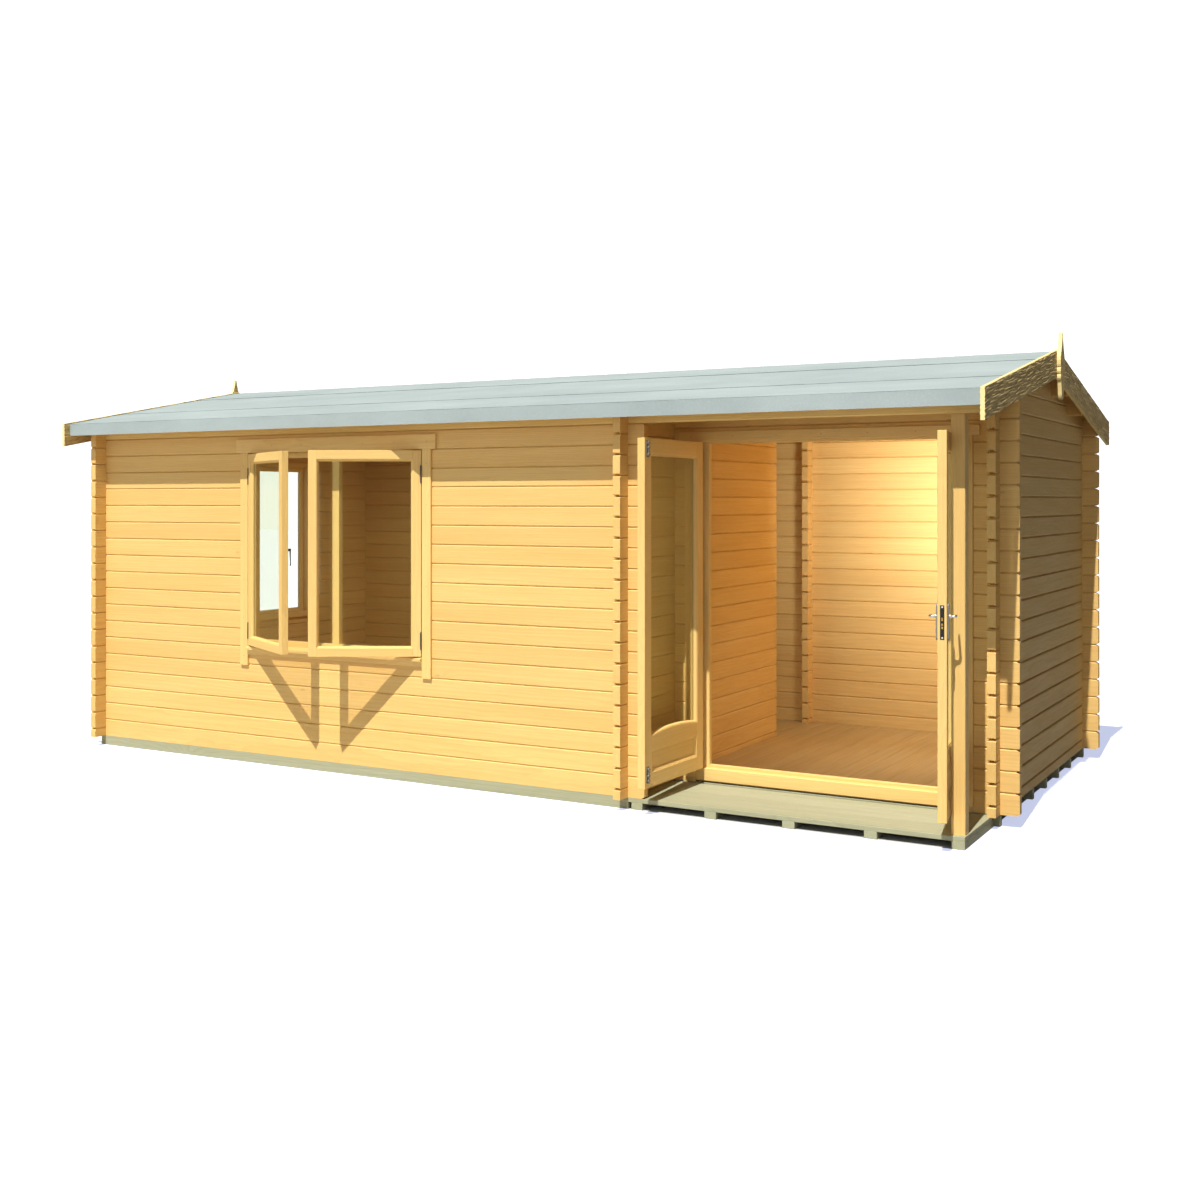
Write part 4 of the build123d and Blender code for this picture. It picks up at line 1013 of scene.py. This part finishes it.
    # sash fasteners: plate, boss and a hanging curved arm
    w = Work()
    for P in (sash_places()[0], sash_places()[2]):
        U, D, Z = axes_of(P)
        f = SASH_T
        uc = SASH_W - 0.037
        o = [(uc - 0.011, 1.334), (uc + 0.011, 1.334), (uc + 0.011, 1.416), (uc, 1.4195), (uc - 0.011, 1.416)]
        plate(w, P, o, f, f + 0.0035, c=0.0009)
        round_on(w, P(uc, f + 0.0035, 1.392), D, [(0, 0.0095), (0.0015, 0.0105), (0.0035, 0.0085), (0.015, 0.0070), (0.0175, 0.0092),
                                                  (0.0225, 0.0092), (0.0245, 0.0070)])
        for zz in (1.3425, 1.410):
            screw(w, P(uc, f + 0.0035, zz), D, 0.0032)
        path = [(uc, 1.398), (uc - 0.001, 1.380), (uc - 0.0045, 1.362), (uc - 0.0050, 1.344), (uc - 0.0015, 1.326),
                (uc + 0.0030, 1.312), (uc + 0.0040, 1.302), (uc + 0.0005, 1.294)]
        wid = [0.0065, 0.0066, 0.0060, 0.0052, 0.0046, 0.0046, 0.0058, 0.0040]
        loops = []
        for k, ((u, z), r) in enumerate(zip(path, wid)):
            d = f + 0.0235 + 0.0035 * math.sin(k / (len(path) - 1) * math.pi)
            ring_pts = []
            for i in range(12):
                a = 2 * math.pi * i / 12
                ring_pts.append(P(u + r * math.cos(a), d + 0.62 * r * math.sin(a), z))
            loops.append(ring_pts)
        w.add(loft(loops), Z, U, D, tone=0.2)
    w.done("sash_fasteners_detail", "dark", "cabin", "dark_metal", ["sash_fasteners"], smooth=45)


def make_lock(PR):
    U, D, Z = axes_of(PR)
    uc, zc = LEAF_W - 0.036, 1.137
    # faceplate on the closing edge, with latch and bolt
    w = Work()
    dm = 0.022
    Q = lambda u, d, z: PR(LEAF_W - 0.003 + d, u, z)      # u across the edge, d outwards from it
    plate(w, Q, rect(0.012, 0.032, 1.0265, 1.1915), 0.0, 0.0038, c=0.0005)
    w.done("lock_faceplate_detail", "black", "right_door", "dark_metal", ["lock_faceplate"], smooth=40)
    w = Work()
    for zz in (1.0355, 1.1825):
        screw(w, PR(LEAF_W + 0.0008, dm, zz), U, 0.0040)
    w.done("lock_faceplate_screws", "nickel", "right_door", "bright_metal", smooth=40)
    w = Work()
    # latch: bevelled nose; bolt: two flat bars, kept almost flush
    latch = [[Q(0.0180, 0.003, 1.117), Q(0.0260, 0.003, 1.117), Q(0.0260, 0.003, 1.133), Q(0.0180, 0.003, 1.133)],
             [Q(0.0192, 0.0050, 1.1175), Q(0.0260, 0.0060, 1.1175), Q(0.0260, 0.0060, 1.1325), Q(0.0192, 0.0050, 1.1325)]]
    w.add(loft(latch), Z, U, D, tone=0.4)
    plate(w, Q, rect(0.0186, 0.0254, 1.078, 1.089), 0.003, 0.0050, c=0.0006)
    plate(w, Q, rect(0.0186, 0.0254, 1.093, 1.104), 0.003, 0.0050, c=0.0006)
    w.done("lock_bolts", "brass", "right_door", "bright_metal", smooth=40)
    # backplates
    w = Work()
    for d0, d1, out in ((-0.009, 0.0, -1), (LEAF_T, LEAF_T + 0.009, 1)):
        n = 10
        pts = []
        r = 0.016
        for cx, cz, a0 in ((uc - 0.018 + r, 1.020 + r, 180), (uc + 0.018 - r, 1.020 + r, 270),
                           (uc + 0.018 - r, 1.200 - r, 0), (uc - 0.018 + r, 1.200 - r, 90)):
            for i in range(n + 1):
                a = math.radians(a0 + 90 * i / n)
                pts.append((cx + r * math.cos(a), cz + r * math.sin(a)))
        face, rim = (d0, d1) if out < 0 else (d1, d0)
        i1 = inset_outline(pts, 0.0012)
        i2 = inset_outline(pts, 0.0040)
        s = 1 if out < 0 else -1
        loops = [[PR(p[0], rim, p[1]) for p in pts], [PR(p[0], face + s * 0.0045, p[1]) for p in pts],
                 [PR(p.x, face + s * 0.0030, p.y) for p in i1], [PR(p.x, face, p.y) for p in i2]]
        w.add(loft(loops), Z, U, D, tone=0.3)
        # keyhole cylinder and screws
        Dout = D * (1 if out > 0 else -1)
        round_on(w, PR(uc, face, 1.072), Dout, [(-0.002, 0.0085), (0.0018, 0.0085), (0.0024, 0.0079), (0.0024, 0.0030), (0.0010, 0.0028)])
        lump(w, PR, (uc - 0.0035, uc + 0.0035), (face + 0.001, face - s * 0.0020), (1.054, 1.067), "z", c=0.0008)
        for zz in (1.031, 1.189):
            screw(w, PR(uc, face, zz), Dout, 0.0034)
    w.done("lock_backplates_detail", "satin", "right_door", "bright_metal", ["lock_backplates"], smooth=35)
    # lever handles, one each side, on one spindle
    w = Work()
    for sgn, base in ((-1, -0.009), (1, LEAF_T + 0.009)):
        Dn = D * sgn
        c = PR(uc, base, zc)
        # collar and neck
        tip = 0.035
        round_on(w, c, Dn, [(-0.004, 0.0078), (0.0008, 0.0079), (0.0012, 0.0112), (0.0040, 0.0112), (0.0052, 0.0085), (0.012, 0.0070),
                            (0.020, 0.0066)], n=24)
        # the arm leaves the neck in a bend and runs towards the hinge side, tapering to a rounded end
        loops = []
        path = [(0.000, 0.018, 0.0067), (0.0005, 0.022, 0.0068), (0.0030, 0.0262, 0.0070), (0.0075, 0.0285, 0.0071), (0.014, 0.0292, 0.0070),
                (0.034, 0.0290, 0.0068), (0.058, 0.0286, 0.0063), (0.072, 0.0284, 0.0058), (0.0778, 0.0284, 0.0046), (0.0797, 0.0284, 0.0022)]
        for k, (x, o, r) in enumerate(path):
            if k == 0:
                tan = V(0, 1, 0)
            else:
                a0 = path[k - 1]
                a1 = path[min(k + 1, len(path) - 1)]
                tan = V(a1[0] - a0[0], a1[1] - a0[1], 0).normalized()
            nrm = V(-tan.y, tan.x, 0)
            pts = []
            for i in range(16):
                a = 2 * math.pi * i / 16
                px = x + nrm.x * r * math.cos(a) * (0.82 if k > 3 else 1.0)
                po = o + nrm.y * r * math.cos(a) * (0.82 if k > 3 else 1.0)
                pz = zc + r * math.sin(a) * (1.12 if k > 3 else 1.0)
                pts.append(PR(uc - px, base + sgn * po, pz))
            loops.append(pts)
        w.add(loft(loops), U, Z, D, tone=0.3)
    round_on(w, PR(uc, -0.012, zc), D, [(0, 0.0040), (LEAF_T + 0.024, 0.0040)], n=8)
    w.done("lever_handle_detail", "bright", "lever", "bright_metal", ["lever_handle"], smooth=50)


# ------------------------------------------------------------------ roof
def roof_place(x, y, up):
    return V(x, RY + y, z_under(y) + up)


def make_roof():
    end = 1.714
    for sgn, node in ((-1, "roof_boards_front"), (1, "roof_boards_rear")):
        w = Work()
        n = 53
        step = 2 * ROOF_X / n
        along = V(0, sgn, -SLOPE).normalized()
        up = V(1, 0, 0).cross(along) * (1 if sgn > 0 else -1)
        for i in range(n):
            x0, x1 = -ROOF_X + i * step, -ROOF_X + (i + 1) * step
            g = 0.0004
            sec = [(x0 + g + 0.004, 0), (x1 - g - 0.004, 0), (x1 - g, 0.0045), (x1 - g, DECK_T), (x0 + g, DECK_T), (x0 + g, 0.0045)]
            loops = [[roof_place(x, y, h) for x, h in sec] for y in (0.0, sgn * end)]
            w.add(loft(loops), along, V(1, 0, 0), up, keep=V(0, RY, RIDGE_Z))
        w.done(node + "_detail", "roof", "cabin", "roof_timber", [node])
    # felt: three courses a side, the upper ones lapping over the lower
    cosr = math.cos(math.atan(SLOPE))
    for sgn, node in ((-1, "roof_felt_front"), (1, "roof_felt_rear")):
        w = Work()
        rows = [(1.160, 1.7170 / cosr, 0.0001, 0.0016), (0.370, 1.251, 0.0014, 0.0030), (0.0, 0.459, 0.0028, 0.0042)]
        nx = 150
        for k, (s0, s1, base, top) in enumerate(rows):
            ns = 10
            th = top - base
            grid_t, grid_b = [], []
            for i in range(nx + 1):
                x = -ROOF_X + 2 * ROOF_X * i / nx
                ct, cb = [], []
                for j in range(ns + 1):
                    q = j / ns
                    s = s0 + (s1 - s0) * q
                    wav = noise.noise(V(x * 2.3 + 17 * k, s * 5.0 + 3 * sgn, 4.2)) * 0.0007
                    wav += noise.noise(V(x * 7.0 + 5 * k, s * 15.0, 9.1 * sgn)) * 0.0003
                    edge = noise.noise(V(x * 1.7 + 31 * k, 2.0 * sgn, 0.5)) * 0.0025 if (j == ns and k) else 0.0
                    s += edge
                    lift = base if q > 0.16 else base * (q / 0.16) * 0.3 + base * 0.3
                    if k == 0:
                        lift = base
                    y = sgn * s * cosr
                    if abs(y) > 1.717:
                        y = sgn * 1.717
                    hump = max(0.0, wav + 0.0004)
                    ct.append(roof_place(x, y, DECK_T + lift + th + hump))
                    cb.append(roof_place(x, y, DECK_T + lift))
                grid_t.append(ct)
                grid_b.append(cb)
            bm = bmesh.new()
            T = [[bm.verts.new(p) for p in c] for c in grid_t]
            B = [[bm.verts.new(p) for p in c] for c in grid_b]
            for i in range(nx):
                for j in range(ns):
                    bm.faces.new((T[i][j], T[i + 1][j], T[i + 1][j + 1], T[i][j + 1]))
                    bm.faces.new((B[i][j + 1], B[i + 1][j + 1], B[i + 1][j], B[i][j]))
            for i in range(nx):
                bm.faces.new((T[i][0], B[i][0], B[i + 1][0], T[i + 1][0]))
                bm.faces.new((T[i + 1][ns], B[i + 1][ns], B[i][ns], T[i][ns]))
            for j in range(ns):
                bm.faces.new((T[0][j + 1], B[0][j + 1], B[0][j], T[0][j]))
                bm.faces.new((T[nx][j], B[nx][j], B[nx][j + 1], T[nx][j + 1]))
            bmesh.ops.recalc_face_normals(bm, faces=bm.faces)
            w.add(bm, V(1, 0, 0), V(0, 1, 0), V(0, 0, 1))
        w.done(node + "_sheets", "felt", "cabin", "mineral_felt", [node], smooth=30)
        beads = Work()
        for k in (1, 2):
            s1, on = rows[k][1], rows[k - 1][3]
            loops = []
            for i in range(nx + 1):
                x = -ROOF_X + 2 * ROOF_X * i / nx
                s = s1 + 0.0012 + noise.noise(V(x * 1.7 + 31 * k, 2.0 * sgn, 0.5)) * 0.0025
                fat = 1.0 + 0.35 * noise.noise(V(x * 6.0, 3.0 * k, 7.0 * sgn))
                ring_pts = []
                for q in range(8):
                    a = 2 * math.pi * q / 8
                    ring_pts.append(roof_place(x, sgn * (s + 0.0030 * fat * math.cos(a)) * cosr,
                                               DECK_T + on + 0.0003 + 0.0022 * fat * (0.35 + 0.65 * math.sin(a))))
                loops.append(ring_pts)
            beads.add(loft(loops), V(1, 0, 0), V(0, 1, 0), V(0, 0, 1))
        beads.done(node + "_lap_beads", "bitumen", "cabin", "mineral_felt", smooth=50)


def make_eave_felt():
    """The felt turned down over the fascia."""
    w = Work()
    lo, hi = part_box("eave_felt")
    zb = lo.z
    for sgn in (-1, 1):
        nx, nz = 150, 5
        yo = 1.717
        ztop = z_under(yo) + DECK_T
        bm = bmesh.new()
        A, B = [], []
        for i in range(nx + 1):
            x = -ROOF_X + 2 * ROOF_X * i / nx
            a, b = [], []
            for j in range(nz + 1):
                z = zb + (ztop - zb) * j / nz
                wav = noise.noise(V(x * 3.1, z * 9.0, 3.3 * sgn)) * 0.0010 + noise.noise(V(x * 9.1, z * 20.0, 1.3 * sgn)) * 0.0004
                a.append(bm.verts.new(V(x, RY + sgn * (yo - 0.0006 - max(0.0, wav)), z)))
                b.append(bm.verts.new(V(x, RY + sgn * (yo - 0.0029), z)))
            A.append(a)
            B.append(b)
        for i in range(nx):
            for j in range(nz):
                bm.faces.new((A[i][j], A[i + 1][j], A[i + 1][j + 1], A[i][j + 1]))
                bm.faces.new((B[i][j + 1], B[i + 1][j + 1], B[i + 1][j], B[i][j]))
            bm.faces.new((A[i][0], B[i][0], B[i + 1][0], A[i + 1][0]))
            bm.faces.new((A[i + 1][nz], B[i + 1][nz], B[i][nz], A[i][nz]))
        for j in range(nz):
            bm.faces.new((A[0][j + 1], B[0][j + 1], B[0][j], A[0][j]))
            bm.faces.new((A[nx][j], B[nx][j], B[nx][j + 1], A[nx][j + 1]))
        bmesh.ops.recalc_face_normals(bm, faces=bm.faces)
        w.add(bm, V(1, 0, 0), V(0, 0, 1), V(0, 1, 0))
    w.done("eave_felt_sheets", "felt", "cabin", "mineral_felt", ["eave_felt"], smooth=30)


def make_bargeboards():
    """Rough-sawn boards with planed edges: the saw marks are in the mesh."""
    H, T, YB, UP = 0.1555, 0.025, 1.765, 0.007
    for sgn, node in ((-1, "bargeboards_front"), (1, "bargeboards_rear")):
        w = Work()
        for side in (-1, 1):
            x_in, x_out = side * ROOF_X, side * (ROOF_X + T)
            nu, nv = 300, 60
            seed = 7.0 * sgn + 3.0 * side

            def rough(s, h, q):
                wander = 0.013 * noise.noise(V(s * 5.0, h * 14.0, seed + 9.0 + q))
                a = noise.noise(V(s * 8.0 + q, (h + wander) * 115.0, seed))
                b = noise.noise(V(s * 20.0, (h + wander) * 240.0, seed + q))
                g = min(1.0, max(0.0, 0.45 + 1.05 * a))
                return 0.0036 * g * g * (3.0 - 2.0 * g) + 0.0009 * abs(b)

            bm = bmesh.new()
            O, I = [], []
            for i in range(nu + 1):
                s = YB * i / nu
                o, n_ = [], []
                for j in range(nv + 1):
                    h = H * j / nv
                    if j == 0:
                        h = 0.0
                    z = z_top(s) + UP - H + h
                    edge = 0.0 if 0 < j < nv else 0.0016
                    do = rough(s, h, 0.0) * (1.0 if edge == 0.0 else 0.35) + edge
                    di = rough(s, h, 50.0) * (1.0 if edge == 0.0 else 0.35) + edge
                    o.append(bm.verts.new(V(x_out - side * do, RY + sgn * s, z)))
                    n_.append(bm.verts.new(V(x_in + side * di, RY + sgn * s, z)))
                O.append(o)
                I.append(n_)
            for i in range(nu):
                for j in range(nv):
                    bm.faces.new((O[i][j], O[i + 1][j], O[i + 1][j + 1], O[i][j + 1]))
                    bm.faces.new((I[i][j + 1], I[i + 1][j + 1], I[i + 1][j], I[i][j]))
                bm.faces.new((O[i][0], I[i][0], I[i + 1][0], O[i + 1][0])).material_index = 1
                bm.faces.new((O[i + 1][nv], I[i + 1][nv], I[i][nv], O[i][nv])).material_index = 1
            for j in range(nv):
                bm.faces.new((O[0][j + 1], I[0][j + 1], I[0][j], O[0][j])).material_index = 1
                bm.faces.new((O[nu][j], I[nu][j], I[nu][j + 1], O[nu][j + 1])).material_index = 1
            bmesh.ops.recalc_face_normals(bm, faces=bm.faces)
            along = V(0, sgn, -SLOPE).normalized()
            w.add(bm, along, V(1, 0, 0).cross(along) * sgn, V(1, 0, 0), keep=V(0, RY, RIDGE_Z))
        o = w.done(node + "_sawn", "sawn", "cabin", "sawn_timber", [node], smooth=50)
        o.data.materials.append(MATS["edge"])


# ------------------------------------------------------------------ base, floor and deck
def board_run(w, x0, x1, y0, y1, z0, z1, axis, width, gap, c):
    """Boards side by side over a rectangle (y measured from the ridge)."""
    if axis == "x":
        n = max(1, round((y1 - y0) / width))
        step = (y1 - y0) / n
        for i in range(n):
            part, fr = box_part((x0, RY + y0 + i * step + gap / 2, z0), (x1, RY + y0 + (i + 1) * step - gap / 2, z1), "x", c)
            w.add(part, V(1, 0, 0), V(0, 1, 0), V(0, 0, 1))
    else:
        n = max(1, round((x1 - x0) / width))
        step = (x1 - x0) / n
        for i in range(n):
            part, fr = box_part((x0 + i * step + gap / 2, RY + y0, z0), (x0 + (i + 1) * step - gap / 2, RY + y1, z1), "y", c)
            w.add(part, V(0, 1, 0), V(1, 0, 0), V(0, 0, 1))


def make_floors():
    lo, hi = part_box("porch_deck")
    w = Work()
    board_run(w, lo.x, hi.x, lo.y - RY, hi.y - RY, lo.z, hi.z, "x", 0.122, 0.0008, 0.0018)
    w.done("porch_deck_boards", "treated", "cabin", "treated_timber", ["porch_deck"])
    z0, z1 = BASE, BASE + 0.028
    xi, yi = XW - LOG_T, YD - LOG_T
    xl, xr = DOOR_XC - DOOR_CUT, DOOR_XC + DOOR_CUT
    w = Work()
    board_run(w, -xi, PART0, -yi, yi, z0, z1, "y", 0.114, 0.0006, 0.0014)
    board_run(w, PART1, xl, DW1 - RY, yi, z0, z1, "y", 0.114, 0.0006, 0.0014)
    board_run(w, xl, xr, -0.838, yi, z0, z1, "y", 0.114, 0.0006, 0.0014)
    board_run(w, xr, xi, DW1 - RY, yi, z0, z1, "y", 0.114, 0.0006, 0.0014)
    w.done("floor_boards_detail", "floor", "cabin", "floor_timber", ["floor_boards"])


def nails_in_trims():
    """Small oval nails in the facing boards of windows and doorway."""
    w = Work()
    def nail(c, out):
        round_on(w, c, out, [(-0.0005, 0.0024), (0.0002, 0.0024), (0.0005, 0.0015)], n=8)
    for s in (-1, 1):
        x = WIN_XC + s * (0.683 + 0.032)
        for k in range(6):
            nail(V(x, YF - 0.016, 0.69 + k * 0.245), (0, -1, 0))
        for k in range(4):
            nail(V(DOOR_XC + s * (0.753 + 0.0325), DW0 - 0.014, 0.20 + k * 0.57), (0, -1, 0))
    for k in range(7):
        nail(V(WIN_XC - 0.72 + k * 0.24, YF - 0.016, WIN_Z1 + 0.045), (0, -1, 0))
        nail(V(DOOR_XC - 0.78 + k * 0.26, DW0 - 0.014, 2.0625), (0, -1, 0))
    for k in range(7):
        nail(V(-XW - 0.016, RY - 0.72 + k * 0.24, WIN_Z1 + 0.045), (-1, 0, 0))
    for s in (-1, 1):
        for k in range(6):
            nail(V(-XW - 0.016, RY + s * 0.715, 0.69 + k * 0.245), (-1, 0, 0))
    w.done("trim_nails", "grey", "cabin", "grey_metal", smooth=40)


def make_simple_boards():
    for node, mat, slot, c in (
        ("ground_bearers", "treated", "treated_timber", 0.0015),
        ("porch_bearers", "treated", "treated_timber", 0.0015),
        ("doorway_threshold", "floor", "floor_timber", 0.0015),
        ("purlins", "log", "roof_timber", 0.0020),
        # painted light: the fascias in the eave's shadow take the paler eave timber
        ("eave_fascias", "fascia", "roof_timber", 0.0012),
        ("finials", "sawn", "sawn_timber", 0.0016),
        ("window_jambs", "joinery", "joinery_timber", 0.0015),
        ("window_heads_and_sills", "joinery", "joinery_timber", 0.0015),
        ("vertical_trims", "joinery", "joinery_timber", 0.0),
        ("header_trims", "joinery", "joinery_timber", 0.0),
        ("sill_boards", "joinery", "joinery_timber", 0.0012),
        ("door_jambs", "joinery", "joinery_timber", 0.0015),
        ("door_head_and_stop_sill", "joinery", "joinery_timber", 0.0015),
        ("door_outer_sill_and_head", "joinery", "joinery_timber", 0.0015),
        ("porch_post", "joinery", "joinery_timber", 0.0),
    ):
        reboard(node, node + "_boards", mat, c=c, keep_axis=(0, 0, 1) if node == "finials" else None,
                planed="edge" if node == "finials" else None)


# ------------------------------------------------------------------ studio
SUN, FILL_FRONT, FILL_ROUND = 5.4, 1.30, 0.02


def make_stage():
    me = bpy.data.meshes.new("studio_floor")
    r = 60.0
    me.from_pydata([(-r, -r, -0.0005), (r, -r, -0.0005), (r, r, -0.0005), (-r, r, -0.0005)], [], [(0, 1, 2, 3)])
    o = bpy.data.objects.new("studio_floor", me)
    LINK(o)
    t = Tree("studio_floor")
    lp = t.add("ShaderNodeLightPath")
    seen = t.math("MAXIMUM", lp.outputs["Is Camera Ray"], lp.outputs["Is Transmission Ray"])
    pos = t.add("ShaderNodeSeparateXYZ")
    t.link(t.add("ShaderNodeTexCoord").outputs["Object"], pos.inputs[0])
    # the pale floor in front throws light up under the eaves; beside and behind it throws less
    ahead = t.math("MULTIPLY", t.math("LESS_THAN", pos.outputs[1], YF), t.math("LESS_THAN", pos.outputs[0], XW))
    throw = t.mix(ahead, (0.13, 0.13, 0.13), (0.45, 0.45, 0.44))
    t.link(t.mix(lp.outputs["Is Diffuse Ray"], (0.50, 0.50, 0.50), throw), t.bsdf.inputs["Base Color"])
    t.bsdf.inputs["Roughness"].default_value = 0.95
    t.bsdf.inputs["Specular IOR Level"].default_value = 0.0
    # a glow seen only by the camera, painted light that keeps the floor pale and its shadows pale blue; it is left
    # off where the building stands on it, which paints shade under the building
    ax = t.math("LESS_THAN", t.math("ABSOLUTE", t.math("ADD", pos.outputs[0], 0.012)), XW - 0.02)
    ay = t.math("LESS_THAN", t.math("ABSOLUTE", t.math("SUBTRACT", pos.outputs[1], RY)), YD - 0.002)
    under = t.math("MULTIPLY", ax, ay)
    pale = t.math("MULTIPLY", seen, t.math("SUBTRACT", 1.0, under))
    # painted light: the glow's pale blue colour tints the floor's shadows
    t.bsdf.inputs["Emission Color"].default_value = (0.53, 0.575, 0.77, 1.0)
    t.link(pale, t.bsdf.inputs["Emission Strength"])
    me.materials.append(t.mat)
    # soft surround: a broad pale field in front, dim elsewhere; white where it is looked at
    w = bpy.data.worlds.new("studio")
    bpy.context.scene.world = w
    w.use_nodes = True
    nt = w.node_tree
    bg = nt.nodes["Background"]

    def op(kind, a, b=0.0):
        n = nt.nodes.new("ShaderNodeMath")
        n.operation = kind
        for sock, v in ((n.inputs[0], a), (n.inputs[1], b)):
            if isinstance(v, bpy.types.NodeSocket):
                nt.links.new(v, sock)
            else:
                sock.default_value = v
        return n.outputs[0]

    lpw = nt.nodes.new("ShaderNodeLightPath")
    sep = nt.nodes.new("ShaderNodeSeparateXYZ")
    nt.links.new(nt.nodes.new("ShaderNodeTexCoord").outputs["Generated"], sep.inputs[0])
    front = op("MAXIMUM", op("MULTIPLY", sep.outputs[1], -1.0), 0.0)
    soft = op("ADD", op("MULTIPLY", op("POWER", front, 4.0), FILL_FRONT), FILL_ROUND)
    either = op("MAXIMUM", lpw.outputs["Is Camera Ray"], lpw.outputs["Is Transmission Ray"])
    strength = op("ADD", op("MULTIPLY", soft, op("SUBTRACT", 1.0, either)), op("MULTIPLY", either, 1.30))
    nt.links.new(strength, bg.inputs[1])
    bg.inputs[0].default_value = (1.0, 1.0, 1.0, 1)
    sun = bpy.data.lights.new("key", "SUN")
    sun.energy = SUN
    sun.angle = math.radians(0.55)
    sun.color = (1.0, 0.965, 0.90)
    so = bpy.data.objects.new("key", sun)
    LINK(so)
    so.rotation_mode = "QUATERNION"
    so.rotation_quaternion = V(-0.075, 1.0, -1.71).to_track_quat("-Z", "Y")
    for name, at, aim, power, size, spread in (
            ("room_light_rear", (2.36, RY + 0.08, 1.66), (-0.06, 1.0, 0.0), 20.0, 0.50, 125.0),
            ("room_light_right", (2.35, RY + 0.30, 2.16), (0.0, 0.0, -1.0), 6.5, 0.40, 100.0),
            ("room_light_left", (-1.2, RY + 0.1, 2.16), (0.0, 0.0, -1.0), 16.0, 0.5, 180.0)):
        li = bpy.data.lights.new(name, "AREA")
        li.energy = power
        li.size = size
        li.spread = math.radians(spread)
        li.color = (0.93, 0.97, 0.98)
        lo = bpy.data.objects.new(name, li)
        LINK(lo)
        lo.location = at
        lo.rotation_mode = "QUATERNION"
        lo.rotation_quaternion = Vector(aim).to_track_quat("-Z", "Y")


make_camera()
make_walls()
make_sashes()
PL, pinL = make_leaf(-1, "left_leaf_detail", "left_leaf_pane", "left_door", "left_leaf", "left_leaf_glass")
PR, pinR = make_leaf(1, "right_leaf_detail", "right_leaf_pane", "right_door", "right_leaf", "right_leaf_glass")
make_hinges(PL, pinL, PR, pinR)
make_lock(PR)
make_roof()
make_eave_felt()
make_bargeboards()
make_floors()
make_simple_boards()
nails_in_trims()
make_stage()
bpy.context.scene.view_settings.view_transform = "Standard"
